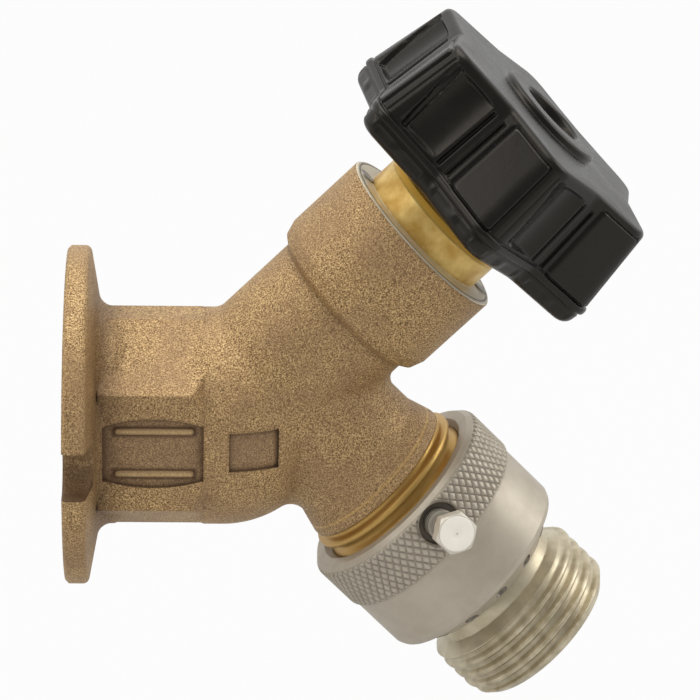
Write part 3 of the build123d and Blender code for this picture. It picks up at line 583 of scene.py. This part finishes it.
# %% The turned finishes
brass = (linear(238, 204, 122), linear(206, 162, 76))
bead_brass = (linear(232, 206, 146), linear(178, 130, 60))
golden_brass = (linear(222, 168, 70), linear(168, 112, 36))
nickel = (linear(192, 182, 165), linear(170, 158, 139))
cut_nickel = (linear(214, 203, 176), linear(190, 177, 147))
clear_nickel = (linear(226, 219, 204), linear(206, 197, 180))
white_nickel = (linear(246, 240, 228), linear(236, 228, 214))
zinc = (linear(214, 210, 202), linear(178, 174, 166))
turned_rows = {
    "cut_bronze": (inlet, cut_brass, bronze_mean, 0.42, 0.8, 0.5, 0.05),
    "inner_brass": (bonnet, *brass, 0.46, 0.8, 0.4),
    "bonnet_brass": (bonnet, *brass, 0.38, 1.0, 0.4, 0.18, faced_ring_and_painted_light),
    "gland_brass": (bonnet, *golden_brass, 0.45, 1.0, 0.3),
    "outlet_brass": (outlet, *bead_brass, 0.26, 1.0, 1.0),
    "satin_nickel": (outlet, *nickel, 0.44, 0.4, 0.5, 0.18, painted_hole_shade),
    "thread_nickel": (outlet, *cut_nickel, 0.32, 0.8, 0.6, 0.05, streaked),
    "bright_nickel": (outlet, *clear_nickel, 0.34, 0.4, 0.45, 0.18, shank_thread_shade),
    "faced_nickel": (outlet, *white_nickel, 0.40, 0.3, 0.15),
    "zinc_steel": (bonnet, *zinc, 0.40, 0.6, 0.7),
}
for name, row in turned_rows.items():
    make_turned(name, *row)

# %% Plastic, rubber and packing
wave_noise, bloom_noise = (1.4, 2.0, 0.5), (6.0, 3.0, 0.6)
dust_noise, skin_noise, skin_bump = (0.35, 2.0, 0.7), (0.12, 1.0, 0.5), (0.004, 0.6)
bloom_range, dust_range = (0.35, 0.7, 0.0, 0.4), (0.70, 0.78, 0.0, 0.35)
wave_strength, moulded_edge, moulded_shine = 0.6, 0.15, 0.38
dust_gain, dust_lift, glossier, duller = 3, 0.03, 0.05, 0.07


def make_moulded(name, tone, dusty, rough, wave=0.02, tint=white):
    """Plastic or rubber: a faintly wavy skin, cloudy gloss, and a few specks of dust."""
    place = new_material(name)
    bloom = noise(place, *bloom_noise)
    colour = mixed(spread(bloom, *bloom_range), tone, dusty)
    dust_tone = tuple(dust_gain * part + dust_lift for part in dusty)
    colour = mixed(spread(noise(place, *dust_noise), *dust_range), colour, dust_tone)
    waves = noise(place, *wave_noise)
    normal = bumped(waves, wave, wave_strength, softened(moulded_edge, quick_samples))
    normal = bumped(noise(place, *skin_noise), *skin_bump, normal)
    close_material(
        Base_Color=colour,
        Roughness=spread(bloom, *noise_range, rough - glossier, rough + duller),
        Normal=normal,
        Specular_Tint=(*tint, 1),
        Specular_IOR_Level=moulded_shine,
    )


black, black_dust, oily = (0.006, 0.0055, 0.0048), (0.010, 0.009, 0.008), (1.0, 0.91, 0.80)
rubber, rubber_dust = (0.018, 0.018, 0.018), (0.035, 0.034, 0.032)
cord_grey, cord_dust = (0.55, 0.53, 0.48), (0.44, 0.42, 0.38)
make_moulded("black_plastic", black, black_dust, rough=0.27, tint=oily)
make_moulded("seal_rubber", rubber, rubber_dust, rough=0.62)
make_moulded("pale_packing", cord_grey, cord_dust, rough=0.68, wave=0.06)

# %% Finish for every loaded part
finishes = {
    "cast_bronze": "body",
    "inner_brass": "valve_seat washer_screw operating_rod spindle handle_insert",
    "bonnet_brass": "bonnet",
    "gland_brass": "gland_nut",
    "outlet_brass": "poppet",
    "satin_nickel": "breaker_body",
    "thread_nickel": "hose_nozzle",
    "bright_nickel": "lock_screw",
    "zinc_steel": "lock_pin_1 lock_pin_2 handle_washer handle_screw poppet_spring",
    "black_plastic": "handle",
    "seal_rubber": "seat_washer bonnet_gasket breaker_gasket air_seal poppet_seal",
    "pale_packing": "guide_bush thrust_washer packing",
}
for finish, parts in finishes.items():
    for part in parts.split():
        nodes[part].data.materials.clear()
        nodes[part].data.materials.append(materials[finish])
dressed = " ".join(finishes.values()).split()
print("undressed:", sorted(set(nodes) - set(dressed)))

# %% [markdown]
# ## Grids
# Every new piece is a grid of points: one number runs round an axis and the other along a
# profile. The points come from whole arrays, so a formula for the shape is also the code for it.
# Seams and collapsed rows are closed by merging points that fall together.

# %% Grid to mesh
merge_reach = 0.0008


def mesh_piece(name, grids, finish):
    """One object from grids of points in metres. A grid whose last column repeats its first is
    closed round, since points that fall together are merged."""
    made = bmesh.new()
    for points in grids:
        rows, columns = points.shape[:2]
        number = np.arange(rows * columns).reshape(rows, columns)
        corners = [number[:-1, :-1], number[:-1, 1:], number[1:, 1:], number[1:, :-1]]
        quads = np.stack(corners, axis=-1)
        part = bpy.data.meshes.new(name)
        part.from_pydata(points.reshape(-1, 3), [], quads.reshape(-1, 4))
        made.from_mesh(part)
        bpy.data.meshes.remove(part)
    bmesh.ops.remove_doubles(made, verts=made.verts, dist=merge_reach * MM)
    bmesh.ops.dissolve_degenerate(made, edges=made.edges, dist=merge_reach / 2 * MM)
    bmesh.ops.recalc_face_normals(made, faces=made.faces)
    mesh = bpy.data.meshes.new(name)
    made.to_mesh(mesh)
    made.free()
    mesh.polygons.foreach_set("use_smooth", np.full(len(mesh.polygons), True))
    mesh.materials.append(materials[finish])
    piece = bpy.data.objects.new(name, mesh)
    bpy.context.scene.collection.objects.link(piece)
    print(name, len(mesh.vertices), "points", len(mesh.polygons), "faces")
    return piece


# %% Shaping helpers
def smooth_step(value, low, high):
    """0 below low, 1 above high, and an even S between them."""
    share = np.clip((value - low) / (high - low), 0, 1)
    return share * share * (3 - 2 * share)


def window(value, low, high, edge):
    """1 between two limits, falling to 0 over an edge inside them."""
    return smooth_step(value, low, low + edge) * (1 - smooth_step(value, high - edge, high))


def spaced(start, end, count, edges, reach, gain, steps=4000):
    """Numbers from start to end that lie closer together near the edges of a detail. They follow
    the running sum of a density that rises by a gain within a reach of each edge."""
    fine = np.linspace(start, end, steps)
    nearness = np.exp(-(((fine[:, None] - np.array(edges)) / reach) ** 2)).sum(axis=1)
    total = np.cumsum(1 + gain * np.minimum(nearness, 1))
    total = (total - total[0]) / (total[-1] - total[0])
    return np.interp(np.linspace(0, 1, count), total, fine)


# %% [markdown]
# ## Moulded handle
# The handle is one moulding with six lobes. Its outline is made of straight flanks, joined by a
# circle at each tip and another at each valley, and it narrows from a beaded rim up to the plate.
# Each flank carries detail pressed in by the mould: a raised pad before the tip, and a scoop with a
# slanting slot after it, then two grooves along the valley. Carving the loaded solid would need
# hundreds of small cuts. As one surface, every detail is a height added square to the outline.

# %% Lobed outline
lobes = 6
half_lobe = math.pi / lobes
tip_rounding, valley_rounding = 3.6, 3.0
corner_rounds = 10


def in_lobe(turn):
    """Turn from the nearest tip, from minus to plus half a lobe."""
    return (turn + half_lobe) % (2 * half_lobe) - half_lobe


def rounded_lobes(turn, tip, valley):
    """Radius of the outline at a turn from a tip. A straight flank at a distance from the axis has
    the radius distance / cos(turn - its normal's turn), and circles round off both of its ends."""
    corner = tip
    for _ in range(corner_rounds):
        lean = np.arctan2(valley * math.sin(half_lobe), corner - valley * math.cos(half_lobe))
        corner = tip + tip_rounding * (1 / np.sin(lean) - 1)
    facing = math.pi / 2 - lean
    distance = corner * np.cos(facing)
    local = np.abs(in_lobe(turn))
    flank = distance / np.cos(local - facing)
    tip_centre = tip - tip_rounding
    rise, run = tip_rounding * np.sin(facing), tip_rounding * np.cos(facing)
    tip_limit = np.arctan2(rise, tip_centre + run)
    inside = np.maximum(tip_rounding**2 - (tip_centre * np.sin(local)) ** 2, 0)
    tip_arc = tip_centre * np.cos(local) + np.sqrt(inside)
    valley_centre = (distance + valley_rounding) / np.cos(facing - half_lobe)
    valley_limit = np.arctan2(
        valley_centre * math.sin(half_lobe) - valley_rounding * np.sin(facing),
        valley_centre * math.cos(half_lobe) - valley_rounding * np.cos(facing),
    )
    from_valley = local - half_lobe
    inside = np.maximum(valley_rounding**2 - (valley_centre * np.sin(from_valley)) ** 2, 0)
    valley_arc = valley_centre * np.cos(from_valley) - np.sqrt(inside)
    outline = np.where(local < tip_limit, tip_arc, flank)
    return np.where(local > valley_limit, valley_arc, outline)


# %% Handle stations and columns
lip_station, rim_station = 47.9, 51.4
shoulder_station, plate_station = 64.7, 65.6
plate_rounding, lip_rounding = plate_station - shoulder_station, 1.6
wall_stations = (lip_station, rim_station, shoulder_station, plate_station)
wall_tips, wall_valleys = (24.2, 24.56, 22.4, 22.3), (19.2, 19.5, 18.2, 18.1)
columns_per_lobe, turn_reach, turn_gain = 88, 0.013, 4.0
detail_edges = np.radians([-27.6, -25.6, -23.4, -3.4, -1.6, 2.6, 5.6, 7.6, 9.4, 25.2, 27.6])
lobe_points = columns_per_lobe + 1
lobe_turns = spaced(-half_lobe, half_lobe, lobe_points, detail_edges, turn_reach, turn_gain)
handle_turns = (lobe_turns[:-1] + 2 * half_lobe * np.arange(lobes)[:, None]).ravel()
handle_turns = np.append(handle_turns, handle_turns[0] + math.tau)


def wall_outline(station):
    """Tip and valley radius of the handle's wall at a station, before its edges are rounded."""
    tip = np.interp(station, wall_stations, wall_tips)
    return tip, np.interp(station, wall_stations, wall_valleys)


# %% Sizes of the handle's details
middle_tip, middle_valley = 23.6, 18.85
bead_half, bead_rise = 0.62, 0.30
moat_depth, moat_span = 0.16, (bead_half - 0.02, bead_half + 0.34, 0.10)
scoop_middle, scoop_half, scoop_depth, scoop_span = 5.35, 2.75, 1.05, (0.95, 12.6, 0.7)
slot_middle, slot_lean, slot_depth, slot_span = 3.55, 0.10, 0.60, (0.9, 12.7, 0.3)
slot_half, slot_flare, slot_edge = 0.14, 0.022, 0.2
line_middle, line_depth, line_edge, line_span = 1.05, 0.12, (0.05, 0.22), (0.9, 13.0, 0.2)
groove_middle, groove_depth, groove_edge = 1.05, 0.60, (0.16, 0.40)
groove_span = (0.80, 12.0, 0.45)
pad_across, pad_up, pad_corner = (-4.10, 3.30), (6.85, 6.0), 0.5
pad_rise, pad_edge = 0.22, (-0.25, 0.10)
border_depth, border_span = 0.32, (0.10, 0.90, 0.3)
twin_middle, twin_apart, twin_edge = 4.9, 2.0, (1.2, 1.7)
twin_depth, twin_span = 0.22, (-2.9, -0.95, 0.6)


# %% Handle details
def flank_detail(turn, station):
    """Height in millimetres of the moulded detail, square to the outline. The place on a lobe is a
    distance from the plane through its tip and one from that through its valley, both taken on the
    outline at half height, so that upright edges narrow with the lobe."""
    radius = rounded_lobes(turn, middle_tip, middle_valley)
    local = in_lobe(turn)
    across = radius * np.sin(local)
    from_valley = radius * np.sin(half_lobe - np.abs(local))
    up = station - rim_station
    bead = bead_rise * np.sqrt(np.clip(1 - (up / bead_half) ** 4, 0, 1))
    moat = moat_depth * window(np.abs(up), *moat_span)
    bowl = np.clip(1 - ((across - scoop_middle) / scoop_half) ** 2, 0, 1)
    scoop = scoop_depth * bowl * window(up, *scoop_span)
    away = np.abs(across - (slot_middle - slot_lean * up))
    half = slot_half + slot_flare * up
    slot = slot_depth * (1 - smooth_step(away, half, half + slot_edge)) * window(up, *slot_span)
    line = 1 - smooth_step(np.abs(across - line_middle), *line_edge)
    line = line_depth * line * window(up, *line_span)
    grooves = 1 - smooth_step(np.abs(from_valley - groove_middle), *groove_edge)
    grooves = groove_depth * grooves * window(up, *groove_span)
    frame_x = (np.abs(across - pad_across[0]) - pad_across[1]) / pad_corner
    frame_y = (np.abs(up - pad_up[0]) - pad_up[1]) / pad_corner
    outside = np.hypot(np.maximum(frame_x + 1, 0), np.maximum(frame_y + 1, 0)) - 1
    pad = pad_rise * (1 - smooth_step(outside, *pad_edge))
    border = border_depth * window(outside, *border_span)
    twin = np.abs(np.abs(np.abs(across) - twin_middle) - twin_apart)
    recess = twin_depth * (1 - smooth_step(twin, *twin_edge)) * window(up, *twin_span)
    return bead + pad - moat - scoop - slot - line - grooves - border - recess


# %% Handle wall
row_count, row_edges, row_reach, row_gain = 74, [50.8, 52.0, 52.3, 63.6, 64.3], 0.20, 3.0
wall_start = lip_station + lip_rounding
wall_rows = spaced(wall_start, shoulder_station, row_count, row_edges, row_reach, row_gain)
round_steps, small_turn = 6, 1e-4
quarter = np.linspace(0, math.pi / 2, round_steps + 1)[1:]
lip_rows_up = (lip_station + lip_rounding * (1 - np.sin(quarter)))[::-1]
lip_inset = (lip_rounding * (1 - np.cos(quarter)))[::-1]
plate_rows_up = shoulder_station + plate_rounding * np.sin(quarter)
plate_inset = plate_rounding * (1 - np.cos(quarter))
edge_rows = np.concatenate([lip_rows_up, wall_rows, plate_rows_up])
edge_inset = np.concatenate([lip_inset, np.zeros(row_count), plate_inset])


def handle_wall():
    """Outer wall: the rounded outline at each station, moved square to itself by its details. The
    outline's direction comes from the points at a turn and at the next one."""
    station = edge_rows[:, None]
    tip, valley = wall_outline(station)
    turn = handle_turns[None, :]
    radius = rounded_lobes(turn, tip, valley)
    forward = radius * np.cos(turn)
    sideways = radius * np.sin(turn)
    next_turn = turn + small_turn
    ahead = rounded_lobes(next_turn, tip, valley)
    run = ahead * np.cos(next_turn) - forward
    rise = ahead * np.sin(next_turn) - sideways
    length = np.hypot(run, rise)
    height = flank_detail(turn, station) - edge_inset[:, None]
    forward = forward + height * rise / length
    sideways = sideways - height * run / length
    bearing = np.arctan2(sideways, forward)
    bearing = turn + (bearing - turn + math.pi) % math.tau - math.pi
    return np.hypot(forward, sideways), bearing, station + 0 * turn


wall_radius, wall_turn, wall_station = handle_wall()
print("wall reaches", round(wall_radius.max(), 2), "mm from the axis")

# %% Handle top, hollow and hub
boss_radius, boss_top = 8.75, 66.9
well_radius, well_floor, screw_hole = 4.95, 61.6, 2.3
plate_crown, plate_tip = 0.22, 22.4
cavity_radius, cavity_roof = 15.5, 60.0
hub_radius, hub_bottom = 8.4, 52.2
insert_hole, insert_roof = 5.52, 60.2
chamfer = 0.3
pocket_radius, pocket_circle, pocket_depth = 2.1, 19.3, 8.0
snap_band, tiny = 0.20, 1e-6
plate_steps, lip_steps = 10, 24


def rows_to_circle(row, goal_radius, steps):
    """Rows that run inward from a row of the wall to a circle."""
    share = np.linspace(0, 1, steps + 1)[1:, None]
    turn = wall_turn[row] + (handle_turns - wall_turn[row]) * share
    radius = wall_radius[row] + (goal_radius - wall_radius[row]) * share
    return radius, turn, wall_station[row] + 0 * radius


def plate_rows():
    """The plate, which rises by a slight crown towards the boss."""
    radius, turn, station = rows_to_circle(-1, boss_radius + chamfer, plate_steps)
    crown = 1 - ((radius - boss_radius) / (plate_tip - boss_radius)) ** 2
    return radius, turn, station + plate_crown * np.clip(crown, 0, 1)


def lip_rows():
    """The lip's lower face with a round pocket below each tip. Points close to a pocket's edge are
    moved onto it, so that the edge is a true circle, and those inside go up by its depth."""
    radius, turn, station = rows_to_circle(0, cavity_radius, lip_steps)
    local = in_lobe(turn)
    ahead = radius * np.cos(local) - pocket_circle
    aside = radius * np.sin(local)
    far = np.hypot(ahead, aside)
    deep = far < pocket_radius - snap_band
    snap = (far < pocket_radius + snap_band) & ~deep
    pull = np.where(snap, pocket_radius / np.maximum(far, tiny), 1.0)
    ahead = pocket_circle + ahead * pull
    aside = aside * pull
    moved = turn - local + np.arctan2(aside, ahead)
    return np.hypot(ahead, aside), moved, station + np.where(deep, pocket_depth, 0.0)


# %% Profile of boss, well, hub and hollow
inner_profile = [
    (boss_radius + 0.12, plate_station + plate_crown + 0.05),
    (boss_radius, plate_station + plate_crown + 0.25),
    (boss_radius, boss_top - 0.45),
    (boss_radius - 0.05, boss_top - 0.32),
    (boss_radius - 0.42, boss_top - 0.03),
    (boss_radius - 0.60, boss_top),
    (well_radius + 0.55, boss_top),
    (well_radius + 0.42, boss_top - 0.03),
    (well_radius + 0.05, boss_top - 0.38),
    (well_radius, boss_top - 0.50),
    (well_radius, well_floor + 0.15),
    (well_radius - 0.15, well_floor),
    (screw_hole + 0.1, well_floor),
    (screw_hole, well_floor - 0.1),
    (screw_hole, insert_roof + 0.1),
    (screw_hole + 0.1, insert_roof),
    (insert_hole - 0.1, insert_roof),
    (insert_hole, insert_roof - 0.1),
    (insert_hole, hub_bottom + chamfer),
    (insert_hole + chamfer, hub_bottom),
    (hub_radius - chamfer, hub_bottom),
    (hub_radius, hub_bottom + chamfer),
    (hub_radius, cavity_roof - chamfer),
    (hub_radius + chamfer, cavity_roof),
    (cavity_radius - chamfer, cavity_roof),
    (cavity_radius, cavity_roof - chamfer),
    (cavity_radius, lip_station + chamfer),
    (cavity_radius, lip_station),
]


# %% Handle grid
def handle_grid():
    """The whole moulding as one closed grid: in below the lip, down the wall to the plate, then
    over the boss into the well, and back through the hub and the hollow to the lip."""
    radius, station = np.array(inner_profile).T
    flat = 0 * handle_turns
    inner = (radius[:, None] + flat, handle_turns + 0 * radius[:, None], station[:, None] + flat)
    low = tuple(part[::-1] for part in lip_rows())
    wall = (wall_radius, wall_turn, wall_station)
    parts = [low, wall, plate_rows(), inner]
    radius, turn, station = (np.concatenate([part[i] for part in parts]) for i in range(3))
    return on_branch(bonnet, radius, turn, station)


# %% Blocks for webs and spokes
def block_grid(branch, turn, reach, half_width, stations):
    """A flat block that stands out from a branch's axis at a turn, as a closed tube of four sides
    whose ends are drawn together."""
    low, high = stations
    middle = (low + high) / 2
    aside = np.array([-1, 1, 1, -1, -1]) * half_width
    height = np.array([low, low, high, high, low])
    grid = []
    for out, open_share in ((reach[0], 0), (reach[0], 1), (reach[1], 1), (reach[1], 0)):
        shrunk = aside * open_share
        level = middle + (height - middle) * open_share
        radius = np.hypot(out, shrunk)
        grid.append(on_branch(branch, radius, turn + np.arctan2(shrunk, out), level))
    return np.array(grid)


# %% Handle piece
block_sunk = 0.2
web_half, web_top = 0.9, 60.1
web_reach = (hub_radius - block_sunk, cavity_radius + block_sunk)
webs = [
    block_grid(bonnet, turn, web_reach, web_half, (hub_bottom, web_top))
    for turn in 2 * half_lobe * (np.arange(lobes) + 0.5)
]
handle_piece = mesh_piece("moulded_handle", [handle_grid(), *webs], "black_plastic")
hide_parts("handle")
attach(handle_piece, "handwheel")

# %% [markdown]
# ## Hose thread
# The nozzle's thread is a helix cut on a lathe. Here the rows of the grid themselves climb with the
# thread, one pitch in a turn, so that its crests stay crisp on a coarse grid. Rows that leave the
# thread's ends are held at them and merged. A cone cuts off the crest at both ends, as the lathe's
# chamfer does, so the thread runs out in a fine line.

# %% Hose thread
pitch, crest_radius, thread_depth = 2.209, 13.49, 0.95
crest_half, root_half, first_crest = 0.16, 0.84, 41.9
collar_radius, collar_start, collar_end = 11.0, 36.27, 38.9
lead_slope, mouth_slope, mouth_length = 1.45, 0.9, 1.3
nozzle_end = 49.4
nozzle_columns, rows_per_pitch = 240, 22
nozzle_turns = np.linspace(0, math.tau, nozzle_columns + 1)


def thread_radius(station, turn):
    """Radius of the threaded outside. Along the axis it falls from a narrow crest to a rounded
    root as an even S, and no point stands out of the cone that rises from the collar or of the one
    that falls to the mouth."""
    phase = (station - first_crest) / pitch + turn / math.tau
    away = np.abs(phase - np.round(phase)) * pitch
    thread = crest_radius - thread_depth * smooth_step(away, crest_half, root_half)
    lead = collar_radius + (station - collar_end) * lead_slope
    mouth = crest_radius - (station - nozzle_end + mouth_length) * mouth_slope
    return np.minimum(np.minimum(thread, lead), mouth)


def climbing_rows(start, end, rise, rows_per_turn, turns):
    """Stations of rows that climb a thread's rise in a turn and are held at its start and end."""
    count = int((end - start) / rise * rows_per_turn) + 2 * rows_per_turn
    row = start + np.arange(count)[:, None] * rise / rows_per_turn
    return np.clip(row - rise * turns / math.tau, start, end)


thread_rows = climbing_rows(collar_end, nozzle_end, pitch, rows_per_pitch, nozzle_turns)
thread_radii = thread_radius(thread_rows, nozzle_turns)
thread_grid = on_branch(outlet, thread_radii, nozzle_turns, thread_rows)


# %% Turned surfaces
def round_grid(branch, profile, turns):
    """A turned surface from (radius, station) pairs."""
    radius, station = np.array(profile).T
    return on_branch(branch, radius[:, None], turns, station[:, None])


# %% Nozzle inside and poppet guide
bore_radius, mouth_chamfer = 9.0, 0.8
sleeve_radius, nozzle_top = 10.7, 28.91
nozzle_inside = [
    (bore_radius + mouth_chamfer, nozzle_end),
    (bore_radius + 0.12, nozzle_end - 0.5),
    (bore_radius, nozzle_end - 0.8),
    (bore_radius, nozzle_top + 0.2),
    (bore_radius + 0.2, nozzle_top),
    (sleeve_radius - 0.3, nozzle_top),
    (sleeve_radius, nozzle_top + 0.3),
    (sleeve_radius, collar_start),
    (collar_radius - 0.2, collar_start),
    (collar_radius, collar_start + 0.2),
    (collar_radius, collar_end - 0.2),
    (collar_radius, collar_end),
]
mouth_profile = thread_radius(np.array(nozzle_end), nozzle_turns)
mouth_share = np.linspace(0, 1, 3)[:, None]
mouth_radius = mouth_profile + (bore_radius + mouth_chamfer - mouth_profile) * mouth_share
mouth_grid = on_branch(outlet, mouth_radius, nozzle_turns, nozzle_end)
guide_top, guide_bottom = 36.43, 38.63
guide_radius, stem_hole = 5.2, 1.85
guide_profile = [
    (stem_hole, guide_top),
    (guide_radius - 0.2, guide_top),
    (guide_radius, guide_top + 0.2),
    (guide_radius, guide_bottom - 0.2),
    (guide_radius - 0.2, guide_bottom),
    (stem_hole + 0.2, guide_bottom),
    (stem_hole, guide_bottom - 0.2),
    (stem_hole, guide_top),
]
spoke_half, spoke_count = 0.9, 4
spoke_reach = (guide_radius - block_sunk, bore_radius + block_sunk)
spokes = [
    block_grid(outlet, turn, spoke_reach, spoke_half, (guide_top, guide_bottom))
    for turn in np.arange(spoke_count) * math.tau / spoke_count
]

# %% Nozzle piece
inside_grid = round_grid(outlet, nozzle_inside, nozzle_turns)
guide_grid = round_grid(outlet, guide_profile, nozzle_turns)
nozzle_grids = [thread_grid, mouth_grid, inside_grid, guide_grid, *spokes]
nozzle_piece = mesh_piece("hose_thread", nozzle_grids, "thread_nickel")
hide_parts("hose_nozzle")
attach(nozzle_piece, "tap_body")

# %% [markdown]
# ## Diamond knurl
# A knurling wheel presses two crossing sets of slanting grooves into the breaker's upper band. The
# ring laid over it keeps a flat diamond between each four grooves. A whole number of diamonds fits
# round the band and along it, so none is cut.

# %% Diamond knurl
knurl_start, knurl_end = 17.05, 24.45
knurl_crest, knurl_root = 16.5, 16.13
diamonds_round, diamond_rows, points_per_diamond = 76, 4, 8
groove_share, rim_share = 3.6, 24
sink_radius, sink_edge = 3.25, 0.2
hole_floor, inner_wall, inner_gap = 14.85, 14.75, 0.1
knurl_turns = np.linspace(0, math.tau, diamonds_round * points_per_diamond + 1)


# %% Knurl grid
def walled(branch, radius, turns, station, wall, low, high):
    """A tube of rows, closed by a round wall at another radius that runs from low to high."""
    wall, low, high = wall + 0 * turns, low + 0 * turns, high + 0 * turns
    radius = np.concatenate([[wall], radius, [wall, wall]])
    return on_branch(branch, radius, turns, np.concatenate([[low], station, [high, low]]))


def knurl_grid():
    """Flat diamonds between narrow crossing grooves over a cylinder, with chamfered rims and an
    inner wall sunk in the band below. Height grows with the distance from the nearer groove."""
    share = np.linspace(0, 1, diamond_rows * points_per_diamond + 1)[:, None]
    around = knurl_turns / math.tau * diamonds_round
    upward = share * diamond_rows
    first = np.abs((around + upward) % 1 - 0.5) * 2
    second = np.abs((around - upward) % 1 - 0.5) * 2
    height = np.minimum(groove_share * np.minimum(first, second), 1)
    rim = np.clip(np.minimum(share, 1 - share) * rim_share, 0, 1)
    radius = knurl_root + (knurl_crest - knurl_root) * height * rim
    station = knurl_start + (knurl_end - knurl_start) * share + 0 * knurl_turns
    sideways = knurl_crest * (np.mod(knurl_turns - screw_turn + math.pi, math.tau) - math.pi)
    away = np.hypot(station - screw_station, sideways)
    radius += (hole_floor - radius) * (1 - smooth_step(away, sink_radius, sink_radius + sink_edge))
    low, high = knurl_start + inner_gap, knurl_end - inner_gap
    return walled(outlet, radius, knurl_turns, station, inner_wall, low, high)


knurl_piece = mesh_piece("diamond_knurl", [knurl_grid()], "satin_nickel")
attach(knurl_piece, "tap_body")

# %% [markdown]
# ## Inlet thread
# The supply pipe screws into the inlet from the wall's side. Like the hose thread, its ridge is a
# helix whose rows climb one pitch in a turn. It stands in from the plain bore, sinks into the
# bore's wall at both ends, and is closed by a wall buried in the body.

# %% Inlet thread
pipe_pitch, pipe_bore, pipe_ridge = 1.814, 12.15, 0.75
pipe_spare, pipe_buried = 0.04, 0.2
pipe_start, pipe_end = 1.0, 13.4
pipe_columns, pipe_rows = 180, 14
pipe_turns = np.linspace(0, math.tau, pipe_columns + 1)


def pipe_thread_grid():
    """Rows climb one pitch in a turn and are held at the thread's ends. The ridge is a sine along
    the axis, its height rising over the first turn and falling over the last."""
    station = climbing_rows(pipe_start, pipe_end, pipe_pitch, pipe_rows, pipe_turns)
    phase = math.tau * (station - pipe_start) / pipe_pitch + pipe_turns
    ends = np.minimum(station - pipe_start, pipe_end - station)
    ridge = 0.5 - 0.5 * np.cos(phase)
    rise = smooth_step(ends, 0, pipe_pitch)
    radius = pipe_bore + pipe_spare - (pipe_ridge + pipe_spare) * ridge * rise
    wall = pipe_bore + pipe_buried
    return walled(inlet, radius, pipe_turns, station, wall, pipe_start, pipe_end)


pipe_piece = mesh_piece("inlet_thread", [pipe_thread_grid()], "cut_bronze")
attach(pipe_piece, "tap_body")

# %% [markdown]
# ## Raised bars on the panel
# Two round-ended bars lie along the sunk panel's upper and lower edge. Each is a capsule, half
# buried in the panel's floor: its half-width falls off as a semicircle at both ends.

# %% Panel bars
panel_floor, bar_columns = -14.9, 24
bar_middle = np.linspace(9, 17, 5)
round_end = bar_half_width * (1 - np.cos(np.linspace(0, math.pi / 2, 8)))


def bar_grid(level):
    """A capsule along X at a level: the section is an ellipse whose size falls off as a semicircle
    over its own half-width at both ends."""
    turn = np.linspace(0, math.tau, bar_columns + 1)
    along_bar = np.concatenate([bar_low + round_end, bar_middle, (bar_high - round_end)[::-1]])
    near_end = np.minimum(along_bar - bar_low, bar_high - along_bar)
    short = 1 - np.clip(near_end / bar_half_width, 0, 1)
    size = np.sqrt(np.clip(1 - short**2, 0, 1))[:, None]
    x = along_bar[:, None] + 0 * turn
    y = panel_floor - bar_rise * size * np.cos(turn)
    z = level + bar_half_width * size * np.sin(turn)
    return np.stack([x, y, z], axis=-1) * MM


bar_grids = [bar_grid(bar_height), bar_grid(-bar_height)]
bars_piece = mesh_piece("panel_bars", bar_grids, "worn_bronze")
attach(bars_piece, "tap_body")

# %% [markdown]
# ## Face of the lock screw
# The screw's head was faced on a lathe, which leaves a bright disc with a small ring and a pip at
# its centre. It is a turned surface like the rest, round the screw's own axis.

# %% Lock screw face
face_station, face_columns = 24.5, 72
disc = [(0, -0.2), (2.6, -0.2), (2.6, 0.02), (2.57, 0.06), (2.5, 0.08)]
ring = [(0.62, 0.09), (0.50, 0.02), (0.38, 0.09)]
pip = [(0.24, 0.09), (0.10, -0.06), (0, -0.08)]
face_profile = np.array(disc + ring + pip) + (0, face_station)
face_turns = np.linspace(0, math.tau, face_columns + 1)
face_grid = round_grid(screw, face_profile, face_turns)
face_piece = mesh_piece("lock_screw_face", [face_grid], "faced_nickel")
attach(face_piece, "tap_body")
